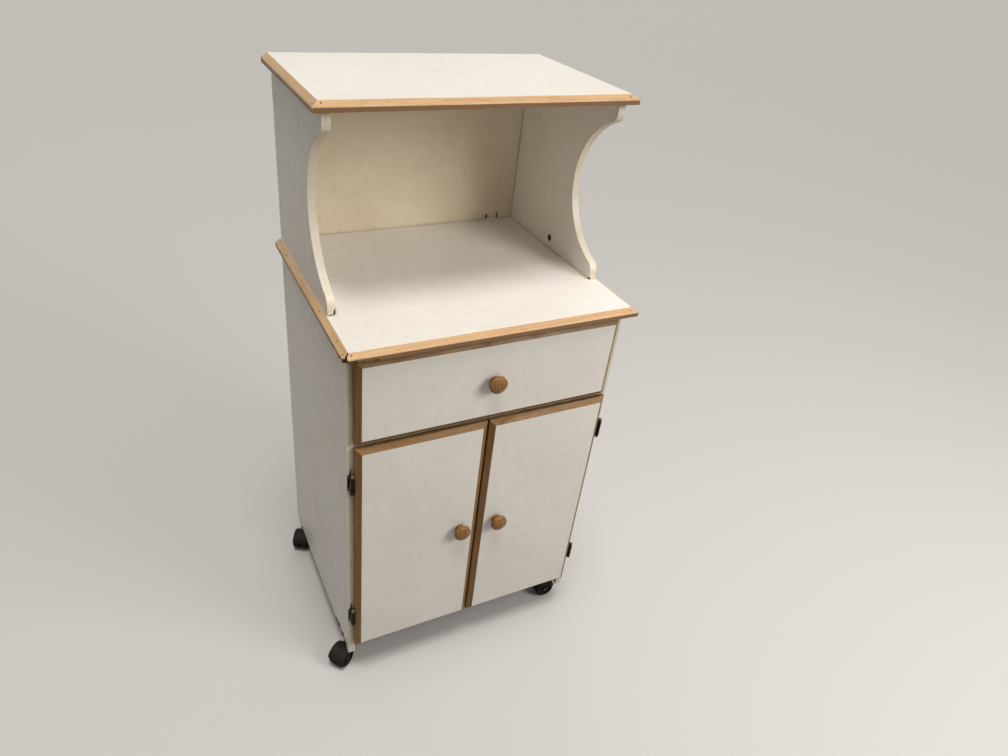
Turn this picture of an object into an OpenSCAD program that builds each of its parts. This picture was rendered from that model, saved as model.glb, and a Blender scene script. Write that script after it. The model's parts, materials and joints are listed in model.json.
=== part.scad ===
// Rolling kitchen cabinet: a two-door base with one drawer, an open hutch above it and four casters.
// Millimetres, +Z up, the front faces -Y, and the floor is at Z = 0.
// The origin is on the floor in the middle of the space that the whole cabinet takes.

/* [Boards] */
// Thickness of the melamine-faced boards
board_t = 16; // [12:0.5:20]
// Thickness of the hardboard backs and of the drawer's bottom
back_t = 3; // [2.5:0.5:6]
// Thickness of the drawer box's boards
drawer_board_t = 12; // [10:0.5:15]

/* [Base cabinet] */
// Width across the two side panels
body_w = 584; // [480:1:800]
// Depth of the side panels
body_d = 472; // [400:1:600]
// Height of the side panels
panel_h = 828; // [760:1:900]
// Room under the side panels, which the casters fill
floor_clear = 60; // [58:1:90]
// Height of the floor panel's underside above the side panels' lower edge
floor_panel_rise = 40; // [20:1:80]
// Depth of the flat rails between the side panels
rail_d = 60; // [40:1:90]
// Height of the inner shelf above the floor panel
shelf_rise = 250; // [120:1:380]
// Depth of the inner shelf
shelf_d = 400; // [250:1:440]
// Play on each side of the inner shelf
shelf_play = 1; // [0.5:0.1:2]

/* [Worktop and top] */
// Overhang of the worktop board past each side panel
worktop_side_lap = 1; // [0:0.5:20]
// Overhang of the worktop board past the side panels' front edges
worktop_front_lap = 18; // [17:1:40]
// Overhang of the top board past each hutch side
top_side_lap = 5.5; // [0:0.5:20]
// Overhang of the top board past the hutch sides' noses
top_front_lap = 3; // [0:0.5:20]

/* [Hutch] */
// Height of the open bay between the worktop and the top board
hutch_h = 360; // [330:1:480]
// Setback of each hutch side from the side panel below it
hutch_inset = 0.5; // [0:0.5:10]
// Depth of a hutch side at the worktop
hutch_foot_d = 360; // [350:1:420]
// Depth of a hutch side under the top board
hutch_nose_d = 350; // [335:1:420]
// Radius of the scoop in the front edge of a hutch side
scoop_r = 152; // [120:1:155]
// Distance of the scoop's centre from the rear plane
scoop_d = 396; // [380:1:430]
// Radius of the round at the foot of the scoop
foot_round = 22; // [5:1:25]
// Radius of the round at the nose above the scoop
nose_round = 20; // [3:1:24]
// Gap beside the hutch back, at its right edge
back_gap = 1.3; // [0.5:0.1:3]
// Width of the cord notch in the hutch back
notch_w = 29; // [10:1:60]
// Height of the cord notch in the hutch back
notch_h = 15; // [8:1:40]
// Distance of the notch's middle from the right hutch side
notch_inset = 55; // [35:1:200]
// Radius of the small hole in the right hutch side
hole_r = 3; // [1.5:0.5:6]
// Distance of that hole from the rear plane
hole_d = 187; // [60:1:220]
// Height of that hole above the worktop
hole_rise = 26; // [15:1:60]

/* [Oak moulding] */
// Width of the moulding, seen square to the board that it edges
trim_w = 12; // [8:0.5:18]
// Drop of the bevel over the moulding's width
trim_drop = 8; // [5:0.5:11]
// Height of the moulding on the worktop and on the top board
edge_trim_h = 17; // [14:0.5:24]
// Radius of the softened outer edge
trim_round = 3; // [1:0.25:3.5]
// Hairline between two strips of moulding that meet in a mitre
mitre_line = 0.15; // [0.1:0.05:0.3]
// Opening of the mitre at the worktop's front left corner
open_mitre = 1.5; // [0.2:0.1:3]

/* [Doors and drawer front] */
// Height of the doors' lower edge above the side panels' lower edge
door_rise = 38.5; // [10:0.5:60]
// Height of a door with its moulding
door_h = 585.5; // [400:0.5:600]
// Gap between the two doors
door_gap = 3.6; // [2:0.1:6]
// Width of the side panel's edge left bare beside a door, on average
door_reveal = 11; // [9:0.5:14]
// Sideways offset of the pair of doors
door_shift = 1.5; // [-2:0.5:2]
// Gap between the doors and the drawer front
front_gap_z = 9; // [4:0.5:14]
// Height of the drawer front with its moulding
drawer_front_h = 187; // [150:1:190]
// Width of the side panel's edge left bare beside the drawer front, on average
drawer_reveal = 13.5; // [9:0.5:16]
// Sideways offset of the drawer front
drawer_shift = -2; // [-4:0.5:4]
// Distance from the side panels' front edges to the back of the doors
front_gap = 3.3; // [3.2:0.1:6]

/* [Knobs] */
// Radius of a knob's head
knob_r = 18.7; // [14:0.1:22]
// Projection of a knob
knob_len = 26; // [22:0.5:34]
// Radius of a knob's neck
knob_neck_r = 7; // [5:0.5:9]
// Radius of a knob's foot
knob_foot_r = 10; // [8:0.5:12]
// Thickness of a knob's head at its rim, between the roundings
knob_band = 4; // [1:0.5:7]
// Radius of the roundings of a knob's rim
knob_rim_r = 3.5; // [2:0.25:4]
// Rise of a knob's face from its rim to its middle
knob_dome = 4; // [2:0.5:7]
// Distance of a door's knob from the door's free edge
knob_inset = 43; // [30:1:80]
// Height of the doors' knobs above the doors' lower edge
door_knob_rise = 304; // [100:1:480]
// Height of the drawer's knob above the drawer front's lower edge
drawer_knob_rise = 95; // [60:1:120]

/* [Hinges] */
// Distance of the upper hinge's middle from the door's top
hinge_inset_high = 90; // [50:1:160]
// Distance of the lower hinge's middle from the door's bottom
hinge_inset_low = 100; // [50:1:160]
// Radius of a hinge barrel
barrel_r = 4.2; // [3.2:0.1:4.4]
// Distance of a hinge pin from the side panel's front edge
pin_rise = 11.5; // [11:0.1:13]
// Radius of a hinge pin
hinge_pin_r = 1.6; // [1:0.1:2]
// Thickness of a hinge leaf
leaf_t = 1.5; // [1:0.1:1.5]
// Height of the middle knuckle
knuckle_h = 18; // [12:1:24]
// Height of the whole barrel
barrel_h = 42; // [38:1:60]
// Height of the finial at each end of a hinge pin
finial_h = 5.8; // [5:0.2:7]
// Height of the full width of the leaf on the side panel's edge
leaf_full_h = 36; // [30:1:40]
// Height of that leaf from tip to tip
leaf_h = 78; // [64:1:90]
// Bare width of the side panel's edge beside that leaf
leaf_margin = 0.7; // [0.3:0.1:2]
// Width of the hinge leaf behind the door
door_leaf_w = 24; // [22:1:30]
// Gap between a hinge barrel and the door's edge
barrel_gap = 0.4; // [0.3:0.1:1]

/* [Drawer] */
// Height of the drawer box
box_h = 110; // [70:1:130]
// Depth of the drawer box
box_d = 400; // [300:1:430]
// Height of the drawer box's lower edge above the drawer rail
box_rise = 14; // [8:1:24]
// Room for a runner on each side of the drawer box
runner_space = 12.7; // [12:0.1:14]
// Height of a runner
runner_h = 30; // [26:1:40]
// Length of the runners
runner_len = 380; // [280:1:400]
// Sheet thickness of the runners
runner_t = 1.2; // [1:0.1:1.5]
// Height of a runner's lower edge above the drawer box's lower edge
runner_rise = 12; // [6:1:40]
// Height of the drawer's bottom above the box's lower edge
bottom_rise = 9; // [6:1:14]
// Depth of the grooves that hold the drawer's bottom
groove_d = 5; // [3:0.5:7]

/* [Casters] */
// Radius of a caster wheel
wheel_r = 25; // [20:0.5:25]
// Width of one wheel of a pair
wheel_w = 17; // [12:0.5:20]
// Thickness of the web between the wheels of a pair
web_t = 7.2; // [6:0.2:9]
// Distance from a caster's stem to its axle
caster_offset = 22; // [20:0.5:26]
// Radius of the rounded outer shoulders of the wheels
wheel_shoulder = 7; // [3:0.5:9]
// Thickness of the hood over the wheels
hood_t = 1.8; // [1.5:0.1:3]
// Height of the hood's lower edge above the axle
hood_rise = 7; // [3:0.5:12]
// Radius of a caster's stem
stem_r = 3.9; // [3.5:0.05:4.5]
// Radius of a caster's axle
axle_r = 2.5; // [2:0.1:3]
// Length of the stem inside the side panel
stem_grip = 34; // [20:1:36]
// Distance of the front stems from the rear plane
front_stem_d = 434; // [360:1:450]
// Distance of the rear stems from the rear plane
rear_stem_d = 33; // [20:1:80]

/* [Fits] */
// Radial clearance of a pin that turns in its bore
run_fit = 0.06; // [0.03:0.01:0.1]
// Gap between pieces that slide or turn past each other
slide_gap = 0.4; // [0.3:0.05:0.6]
// Radial clearance of a dowel, screw or pin that is held
held_fit = 0.05; // [0.02:0.01:0.1]

/* [Hidden] */
$fn = 64;

// Small sizes of the fasteners and of what holds them
screw_r = 1.5;
screw_head_r = 2.8;
screw_head_t = 1;
screw_len = 14;
screw_margin = 0.4;
dowel_r = 4;
dowel_len = 24;
dowel_depths = [52, 210];
cam_r = 7.5;
cam_t = 12;
cam_inset = 34;
cam_edge_d = 70;
pin_r = 2.5;
pin_len = 20;
knob_screw_r = 2;
knob_screw_grip = 11;
knob_screw_head_t = 2.2;
socket_t = 1.4;
socket_flange_t = 1.5;
stem_boss_t = 4;
hood_setback = 1;
channel_room = 4.7;
runner_setback = 2;
slide_setback = 4;
cabinet_back_inset = 2;
groove_fit = 0.1;

// Distance that a cut reaches past the face that it opens in, and a blind hole past what it holds
cut = 1;
hole_room = 0.5;

// Heights above the floor
panel_top = floor_clear + panel_h;
worktop_top = panel_top + board_t;
hutch_top = worktop_top + hutch_h;
cabinet_top = hutch_top + board_t;
floor_panel_z = floor_clear + floor_panel_rise;
floor_panel_top = floor_panel_z + board_t;
shelf_z = floor_panel_top + shelf_rise;
door_z = floor_clear + door_rise;
door_top = door_z + door_h;
drawer_front_z = door_top + front_gap_z;
drawer_rail_z = door_top - board_t / 4;
box_z = drawer_rail_z + board_t + box_rise;
runner_z = box_z + runner_rise;

// Worktop, hutch and top board
worktop_w = body_w + 2 * worktop_side_lap;
worktop_d = body_d + worktop_front_lap;
hutch_w = body_w - 2 * hutch_inset;
top_w = hutch_w + 2 * top_side_lap;
top_d = hutch_nose_d + top_front_lap;

// Widths inside the carcass
bay_w = body_w - 2 * board_t;
hutch_bay_w = hutch_w - 2 * board_t;
box_w = bay_w - 2 * runner_space;
box_inner_w = box_w - 2 * drawer_board_t;
side_mid = body_w / 2 - board_t / 2;
hutch_side_mid = hutch_w / 2 - board_t / 2;

// Depths from the rear plane, forwards
door_back_d = body_d + front_gap;
door_face_d = door_back_d + board_t;
box_rear_d = door_back_d - box_d;

// Doors
door_pair_w = body_w - 2 * door_reveal;
door_w = (door_pair_w - door_gap) / 2;
door_left_x = door_shift - door_pair_w / 2;
door_right_x = door_shift + door_pair_w / 2;
hinge_side = barrel_gap + barrel_r;
hinge_d = body_d + pin_rise;
hinge_low = door_z + hinge_inset_low;
hinge_high = door_top - hinge_inset_high;
end_knuckle_h = (barrel_h - knuckle_h) / 2;
leaf_screw_z = leaf_full_h / 2 - screw_head_r - screw_margin;

// Casters, front left, front right, rear left and rear right: how far each is turned from facing right
caster_turn = [215, 180, 240, 215];
wheel_gap = 2 * slide_gap;
hood_r = wheel_r + wheel_gap + hood_t;
hood_side = web_t / 2 + slide_gap + wheel_w;
hood_end = hood_side - hood_setback;
socket_r = stem_r + run_fit + socket_t;
socket_flange_r = board_t / 2 - hole_room;
socket_h = stem_grip + 1;
hood_reach = caster_offset + sqrt(hood_r * hood_r - hood_rise * hood_rise);

// Place of the cabinet's centreline and rear plane in the part's own frame
left_reach = side_mid + hood_reach;
right_reach = max(top_w, worktop_w) / 2 + trim_w;
body_x = (left_reach - right_reach) / 2;
rear_y = (door_face_d + knob_len - back_t) / 2;

// A box between two corners given as width, depth from the rear plane, and height
module block(x0, x1, d0, d1, z0, z1) {
    translate([x0, -d1, z0])
        cube([x1 - x0, d1 - d0, z1 - z0]);
}

// Moves the cabinet from its centreline and rear plane to the part's frame
module placed() {
    translate([body_x, rear_y, 0])
        children();
}

// Points of an arc, from one angle to another
function arc(centre, r, from, to, steps = 5) =
    [for (i = [0:steps]) centre + r * [cos(from + (to - from) * i / steps), sin(from + (to - from) * i / steps)]];

// Cross-section of the moulding: the board's face is at 0 and the outside is at trim_w
module trim_profile(height) {
    bevel = atan2(trim_w, trim_drop);
    round_y = -(trim_round / sin(bevel) + trim_drop * (trim_w - trim_round) / trim_w);
    polygon(concat(
        [[0, 0]],
        arc([trim_w - trim_round, round_y], trim_round, bevel, 0),
        [[trim_w, -height], [0, -height]]
    ));
}

// One strip of moulding along +X, with the board on its +Y side and its face at Z = 0.
// Each end is mitred, with a hairline to the next strip, or square where its mitre is 0.
module trim_strip(length, height, mitre_a = 1, mitre_b = 1, gap_a = mitre_line) {
    start = mitre_a * gap_a / 2;
    end = length - mitre_b * mitre_line / 2;
    intersection() {
        translate([-trim_w, 0, 0])
            rotate([90, 0, 90])
                linear_extrude(length + 2 * trim_w)
                    mirror([1, 0])
                        trim_profile(height);
        translate([0, 0, -height - 1])
            linear_extrude(height + 2)
                polygon([
                    [start, 0],
                    [end, 0],
                    [end + mitre_b * trim_w, -trim_w],
                    [start - mitre_a * trim_w, -trim_w]
                ]);
    }
}

// Four mitred strips round a panel, which lies in the XY plane with its face at Z = 0
module trim_frame(width, height) {
    trim_strip(width, board_t);
    translate([width, 0, 0])
        rotate(90)
            trim_strip(height, board_t);
    translate([width, height, 0])
        rotate(180)
            trim_strip(width, board_t);
    translate([0, height, 0])
        rotate(270)
            trim_strip(height, board_t);
}

// Stands a front piece up: its own XY plane becomes the cabinet's front
module upright(x, z) {
    translate([x, -door_face_d, z])
        rotate([90, 0, 0])
            children();
}

// The white field of a door or drawer front, inside its moulding
module front_panel(x, z, width, height) {
    block(x + trim_w, x + width - trim_w, door_back_d, door_face_d, z + trim_w, z + height - trim_w);
}

module front_trim(x, z, width, height) {
    upright(x + trim_w, z + trim_w)
        trim_frame(width - 2 * trim_w, height - 2 * trim_w);
}

// Turned knob on +Z, its foot at Z = 0: a flared foot, a neck, and a thick head with a domed face
module knob_shape() {
    rim_x = knob_r - knob_rim_r;
    rim_z = knob_len - knob_dome - knob_rim_r;
    back_z = rim_z - knob_band - knob_rim_r;
    flare = knob_foot_r - knob_neck_r;
    foot_t = 1.5;
    rise = knob_dome + knob_rim_r;
    dome_r = (rim_x * rim_x + rise * rise - knob_rim_r * knob_rim_r) / (2 * knob_dome);
    dome_a = atan2(rim_z - knob_len + dome_r, rim_x);
    difference() {
        rotate_extrude()
            polygon(concat(
                [[0, 0], [knob_foot_r, 0]],
                arc([knob_foot_r, foot_t + flare], flare, 270, 180),
                arc([knob_neck_r + flare, back_z - flare], flare, 180, 90),
                arc([rim_x, rim_z - knob_band], knob_rim_r, -90, 0, 8),
                arc([rim_x, rim_z], knob_rim_r, 0, dome_a, 8),
                arc([0, knob_len - dome_r], dome_r, dome_a, 90, 16)
            ));
        translate([0, 0, -cut])
            cylinder(r = knob_screw_r + held_fit, h = knob_screw_grip + hole_room + cut);
    }
}

// A knob's screw, which comes through the front from behind
module knob_screw_shape(grip) {
    translate([0, 0, -grip])
        cylinder(r = knob_screw_r, h = grip + knob_screw_grip);
    translate([0, 0, -grip - knob_screw_head_t])
        cylinder(r = 2 * knob_screw_r, h = knob_screw_head_t);
}

// Stands a knob or its screw on the front at a place
module on_front(x, z) {
    upright(x, z)
        children();
}

// Side panels of the base, with the holes for the shelf pins, caster sockets and hinge screws
module side_panel(side) {
    inner_x = side * (body_w / 2 - board_t);
    difference() {
        block(min(inner_x, side * body_w / 2), max(inner_x, side * body_w / 2), 0, body_d, floor_clear, panel_top);
        for (d = [rear_stem_d, front_stem_d])
            translate([side * side_mid, -d, floor_clear - cut])
                cylinder(r = socket_r + held_fit, h = socket_h + hole_room + cut);
        for (d = shelf_pin_depths())
            translate([inner_x, -d, shelf_z - pin_r])
                rotate([0, side * 90, 0])
                    translate([0, 0, -cut])
                        cylinder(r = pin_r + held_fit, h = pin_len / 2 + hole_room + cut);
        for (z = [hinge_low, hinge_high])
            for (dz = [-leaf_screw_z, leaf_screw_z])
                translate([hinge_screw_x(side), -body_d - cut, z + dz])
                    rotate([-90, 0, 0])
                        cylinder(r = screw_r + held_fit, h = screw_len + cut + hole_room);
    }
}

function shelf_pin_depths() = [shelf_d / 6, shelf_d * 5 / 6];

// Place of a hinge's pin and of its frame leaf's screws across the cabinet
function hinge_x(side) = (side < 0 ? door_left_x : door_right_x) + side * hinge_side;
function leaf_reach(side) = body_w / 2 - leaf_margin - side * hinge_x(side);
function hinge_screw_x(side) = hinge_x(side) + side * (leaf_reach(side) - screw_head_r - screw_margin);

// Distance of the door leaf's screws from the pin: midway between the moulding and the leaf's edge
function door_screw_x() = (hinge_side + trim_w + door_leaf_w) / 2;

module side_panel_left() {
    color("oldlace")
        side_panel(-1);
}

module side_panel_right() {
    color("oldlace")
        side_panel(1);
}

// Flat boards between the side panels, with pockets for the cam locks in their undersides
function cam_places(d0, d1) = [for (x = [-1, 1], d = [d0, d1]) [x * (bay_w / 2 - cam_inset), d]];

module cam_pockets(places, z) {
    for (place = places)
        translate([place[0], -place[1], z - cut])
            cylinder(r = cam_r + held_fit, h = cam_t + cut);
}

module floor_panel() {
    color("oldlace")
        difference() {
            block(-bay_w / 2, bay_w / 2, 0, body_d, floor_panel_z, floor_panel_top);
            cam_pockets(cam_places(cam_edge_d, body_d - cam_edge_d), floor_panel_z);
        }
}

module drawer_rail() {
    color("oldlace")
        difference() {
            block(-bay_w / 2, bay_w / 2, body_d - rail_d, body_d, drawer_rail_z, drawer_rail_z + board_t);
            cam_pockets(cam_places(body_d - rail_d / 2, body_d - rail_d / 2), drawer_rail_z);
        }
}

module top_rails() {
    color("oldlace")
        for (d = [0, body_d - rail_d])
            block(-bay_w / 2, bay_w / 2, d, d + rail_d, panel_top - board_t, panel_top);
}

module cam_locks() {
    color("silver") {
        for (place = cam_places(cam_edge_d, body_d - cam_edge_d))
            translate([place[0], -place[1], floor_panel_z])
                cylinder(r = cam_r, h = cam_t);
        for (x = [-1, 1])
            translate([x * (bay_w / 2 - cam_inset), -(body_d - rail_d / 2), drawer_rail_z])
                cylinder(r = cam_r, h = cam_t);
    }
}

module cabinet_back() {
    color("burlywood")
        block(
            -body_w / 2 + cabinet_back_inset, body_w / 2 - cabinet_back_inset,
            -back_t, 0, floor_panel_z, panel_top - cabinet_back_inset
        );
}

module inner_shelf() {
    color("oldlace")
        block(-bay_w / 2 + shelf_play, bay_w / 2 - shelf_play, 0, shelf_d, shelf_z, shelf_z + board_t);
}

module shelf_pins() {
    color("silver")
        for (side = [-1, 1], d = shelf_pin_depths())
            translate([side * (bay_w / 2 - pin_len / 2), -d, shelf_z - pin_r])
                rotate([0, side * 90, 0])
                    cylinder(r = pin_r, h = pin_len);
}

// Worktop and its moulding on the front and both sides
module worktop_board() {
    color("oldlace")
        difference() {
            block(-worktop_w / 2, worktop_w / 2, 0, worktop_d, panel_top, worktop_top);
            dowel_holes(worktop_top);
        }
}

module edge_trim_front(width, depth, z, gap = mitre_line) {
    translate([-width / 2, -depth, z])
        trim_strip(width, edge_trim_h, gap_a = gap);
}

module edge_trim_left(width, depth, z) {
    translate([-width / 2, 0, z])
        rotate(270)
            trim_strip(depth, edge_trim_h, mitre_a = 0);
}

module edge_trim_right(width, depth, z) {
    translate([width / 2, -depth, z])
        rotate(90)
            trim_strip(depth, edge_trim_h, mitre_b = 0);
}

module worktop_trim_front() {
    color("burlywood")
        edge_trim_front(worktop_w, worktop_d, worktop_top, open_mitre);
}

module worktop_trim_left() {
    color("burlywood")
        edge_trim_left(worktop_w, worktop_d, worktop_top);
}

module worktop_trim_right() {
    color("burlywood")
        edge_trim_right(worktop_w, worktop_d, worktop_top);
}

// Hutch sides: the front edge is scooped between a rounded foot and a rounded nose
scoop_z = hutch_h / 2;

// Rise from the scoop's centre to the centre of a round that touches an upright edge and the scoop
function round_rise(edge_d, r) = sqrt(pow(scoop_r + r, 2) - pow(edge_d - r - scoop_d, 2));

// Angle at which such a round meets the scoop, above or below the horizontal
function meet_angle(edge_d, r) = atan2(round_rise(edge_d, r), scoop_d - edge_d + r);

module hutch_profile() {
    foot_a = meet_angle(hutch_foot_d, foot_round);
    nose_a = meet_angle(hutch_nose_d, nose_round);
    foot_centre = [hutch_foot_d - foot_round, scoop_z - round_rise(hutch_foot_d, foot_round)];
    nose_centre = [hutch_nose_d - nose_round, scoop_z + round_rise(hutch_nose_d, nose_round)];
    polygon(concat(
        [[0, 0], [hutch_foot_d, 0]],
        arc(foot_centre, foot_round, 0, foot_a, 8),
        arc([scoop_d, scoop_z], scoop_r, 180 + foot_a, 180 - nose_a, 48),
        arc(nose_centre, nose_round, -nose_a, 0, 6),
        [[hutch_nose_d, hutch_h], [0, hutch_h]]
    ));
}

// Holes for the dowels that join the hutch sides to the worktop and to the top board
module dowel_holes(z) {
    for (side = [-1, 1], d = dowel_depths)
        translate([side * hutch_side_mid, -d, z - dowel_len / 2 - hole_room])
            cylinder(r = dowel_r + held_fit, h = dowel_len + 2 * hole_room);
}

module hutch_side(side) {
    difference() {
        translate([side * hutch_side_mid - board_t / 2, 0, worktop_top])
            rotate([90, 0, 90])
                linear_extrude(board_t)
                    mirror([1, 0])
                        hutch_profile();
        dowel_holes(worktop_top);
        dowel_holes(hutch_top);
    }
}

module hutch_side_left() {
    color("oldlace")
        hutch_side(-1);
}

module hutch_side_right() {
    color("oldlace")
        difference() {
            hutch_side(1);
            translate([hutch_w / 2 - board_t - 1, -hole_d, worktop_top + hole_rise])
                rotate([0, 90, 0])
                    cylinder(r = hole_r, h = board_t / 2 + 1);
        }
}

module hutch_back() {
    color("antiquewhite")
        difference() {
            block(-hutch_bay_w / 2, hutch_bay_w / 2 - back_gap, 0, back_t, worktop_top, hutch_top);
            translate([hutch_bay_w / 2 - notch_inset - notch_w / 2, -back_t - 1, worktop_top - 1])
                cube([notch_w, back_t + 2, notch_h + 1]);
        }
}

module hutch_dowels() {
    color("burlywood")
        for (z = [worktop_top, hutch_top], side = [-1, 1], d = dowel_depths)
            translate([side * hutch_side_mid, -d, z - dowel_len / 2])
                cylinder(r = dowel_r, h = dowel_len);
}

module top_board() {
    color("oldlace")
        difference() {
            block(-top_w / 2, top_w / 2, 0, top_d, hutch_top, cabinet_top);
            dowel_holes(hutch_top);
        }
}

module top_trim_front() {
    color("burlywood")
        edge_trim_front(top_w, top_d, cabinet_top);
}

module top_trim_left() {
    color("burlywood")
        edge_trim_left(top_w, top_d, cabinet_top);
}

module top_trim_right() {
    color("burlywood")
        edge_trim_right(top_w, top_d, cabinet_top);
}

// Runners: a lipped channel on the side panel, and a rail on the drawer with a head that slides in it.
// Both profiles are drawn with the side panel at X = 0 and the drawer side at X = runner_space.
channel_w = runner_space - channel_room;
channel_lip = 5;

module channel_profile() {
    square([runner_t, runner_h]);
    for (y = [0, runner_h - runner_t])
        translate([0, y])
            square([channel_w, runner_t]);
    for (y = [0, runner_h - channel_lip - runner_t])
        translate([channel_w - runner_t, y])
            square([runner_t, channel_lip + runner_t]);
}

module slide_profile() {
    neck_y = channel_lip + runner_t + slide_gap;
    head_y = runner_t + slide_gap;
    translate([runner_t + slide_gap, head_y])
        square([channel_w - 2 * runner_t - 2 * slide_gap, runner_h - 2 * head_y]);
    translate([runner_t + slide_gap, neck_y])
        square([runner_space - runner_t - slide_gap, runner_h - 2 * neck_y]);
    translate([runner_space - runner_t, head_y])
        square([runner_t, runner_h - 2 * head_y]);
}

// Runs a profile from the front edge of the side panel to the rear, on the left side
module run_left(front_d) {
    translate([-bay_w / 2, -front_d, runner_z])
        mirror([0, 1, 0])
            rotate([90, 0, 0])
                linear_extrude(runner_len)
                    children();
}

module runner_left() {
    color("white")
        run_left(body_d - runner_setback)
            channel_profile();
}

module runner_right() {
    color("white")
        mirror([1, 0, 0])
            run_left(body_d - runner_setback)
                channel_profile();
}

module drawer_slide_left() {
    color("white")
        run_left(body_d - slide_setback)
            slide_profile();
}

module drawer_slide_right() {
    color("white")
        mirror([1, 0, 0])
            run_left(body_d - slide_setback)
                slide_profile();
}

// Drawer
drawer_front_w = body_w - 2 * drawer_reveal;
drawer_front_x = drawer_shift - drawer_front_w / 2;

module drawer_front() {
    color("oldlace")
        difference() {
            front_panel(drawer_front_x, drawer_front_z, drawer_front_w, drawer_front_h);
            on_front(drawer_shift, drawer_front_z + drawer_knob_rise)
                knob_hole();
        }
}

module knob_hole() {
    translate([0, 0, -board_t - 1])
        cylinder(r = knob_screw_r + held_fit, h = board_t + 2);
}

module drawer_trim() {
    color("peru")
        front_trim(drawer_front_x, drawer_front_z, drawer_front_w, drawer_front_h);
}

module drawer_knob() {
    color("peru")
        on_front(drawer_shift, drawer_front_z + drawer_knob_rise)
            knob_shape();
}

module drawer_knob_screw() {
    color("silver")
        on_front(drawer_shift, drawer_front_z + drawer_knob_rise)
            knob_screw_shape(board_t + drawer_board_t);
}

// The drawer's bottom with its edges grown by a clearance, for the grooves
module bottom_space(grow) {
    block(
        -box_inner_w / 2 - groove_d - grow, box_inner_w / 2 + groove_d + grow,
        box_rear_d - 1, door_back_d - drawer_board_t + groove_d + grow,
        box_z + bottom_rise - grow, box_z + bottom_rise + back_t + grow
    );
}

module drawer_side(side) {
    inner_x = side * box_inner_w / 2;
    outer_x = side * box_w / 2;
    difference() {
        block(min(inner_x, outer_x), max(inner_x, outer_x), box_rear_d, door_back_d, box_z, box_z + box_h);
        bottom_space(groove_fit);
    }
}

module drawer_side_left() {
    color("wheat")
        drawer_side(-1);
}

module drawer_side_right() {
    color("wheat")
        drawer_side(1);
}

module drawer_box_front() {
    color("wheat")
        difference() {
            block(-box_inner_w / 2, box_inner_w / 2, door_back_d - drawer_board_t, door_back_d, box_z, box_z + box_h);
            bottom_space(groove_fit);
            translate([drawer_shift, -door_back_d - 1, drawer_front_z + drawer_knob_rise])
                rotate([-90, 0, 0])
                    cylinder(r = knob_screw_r + held_fit, h = drawer_board_t + 2);
        }
}

module drawer_box_back() {
    color("wheat")
        block(
            -box_inner_w / 2, box_inner_w / 2, box_rear_d, box_rear_d + drawer_board_t,
            box_z + bottom_rise + back_t, box_z + box_h
        );
}

module drawer_bottom() {
    color("burlywood")
        block(
            -box_inner_w / 2 - groove_d, box_inner_w / 2 + groove_d,
            box_rear_d, door_back_d - drawer_board_t + groove_d,
            box_z + bottom_rise, box_z + bottom_rise + back_t
        );
}

// Doors. The left one is drawn in place, and the right one is the same door at its own edge.
door_inner_left_x = door_left_x + door_w;
door_inner_right_x = door_right_x - door_w;
knob_left_x = door_inner_left_x - knob_inset;
knob_right_x = door_inner_right_x + knob_inset;
door_knob_z = door_z + door_knob_rise;

module door_panel(x, knob_x, side) {
    color("oldlace")
        difference() {
            front_panel(x, door_z, door_w, door_h);
            on_front(knob_x, door_knob_z)
                knob_hole();
            door_leaf_screws(side, held_fit);
        }
}

module door_left_panel() {
    door_panel(door_left_x, knob_left_x, -1);
}

module door_right_panel() {
    door_panel(door_inner_right_x, knob_right_x, 1);
}

module door_left_trim() {
    color("peru")
        front_trim(door_left_x, door_z, door_w, door_h);
}

module door_right_trim() {
    color("peru")
        front_trim(door_inner_right_x, door_z, door_w, door_h);
}

module door_left_knob() {
    color("peru")
        on_front(knob_left_x, door_knob_z)
            knob_shape();
}

module door_right_knob() {
    color("peru")
        on_front(knob_right_x, door_knob_z)
            knob_shape();
}

// Hinges, drawn round their pins: +X points over the door, -X over the side panel's edge
module at_hinges(side) {
    for (z = [hinge_low, hinge_high])
        translate([hinge_x(side), -hinge_d, z])
            scale([-side, 1, 1])
                children();
}

// Outline of the leaf on the side panel's edge, which narrows in a scoop to a pointed tip at each end
module leaf_outline(reach) {
    full_z = leaf_full_h / 2;
    tip_z = leaf_h / 2;
    tip_w = reach * 0.3;
    curve_x = reach - tip_w;
    curve_z = curve_x * 1.4;
    for (up = [-1, 1])
        scale([1, up])
            polygon(concat(
                [[0, -0.1], [reach, -0.1], [reach, full_z]],
                [for (a = [15:15:90]) [reach - curve_x * sin(a), full_z + curve_z * (1 - cos(a))]],
                [[0, tip_z]]
            ));
}

// The fixed leaf: a plate on the side panel's edge, and a wrap that rises from it to the middle knuckle
module frame_leaf(side) {
    reach = leaf_reach(side);
    difference() {
        union() {
            translate([0, pin_rise, 0])
                rotate([90, 0, 0])
                    linear_extrude(leaf_t)
                        mirror([1, 0])
                            leaf_outline(reach);
            translate([-barrel_r, 0, -knuckle_h / 2])
                cube([leaf_t, pin_rise, knuckle_h]);
            translate([0, 0, -knuckle_h / 2])
                cylinder(r = barrel_r, h = knuckle_h);
        }
        translate([0, 0, -knuckle_h])
            cylinder(r = hinge_pin_r + run_fit, h = 2 * knuckle_h);
        for (dz = [-leaf_screw_z, leaf_screw_z])
            translate([screw_head_r + screw_margin - reach, pin_rise - leaf_t - cut, dz])
                rotate([-90, 0, 0])
                    cylinder(r = screw_r + held_fit, h = leaf_t + 2);
    }
}

module hinge_frame_leaves() {
    color("saddlebrown")
        for (side = [-1, 1])
            at_hinges(side)
                frame_leaf(side);
}

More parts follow.
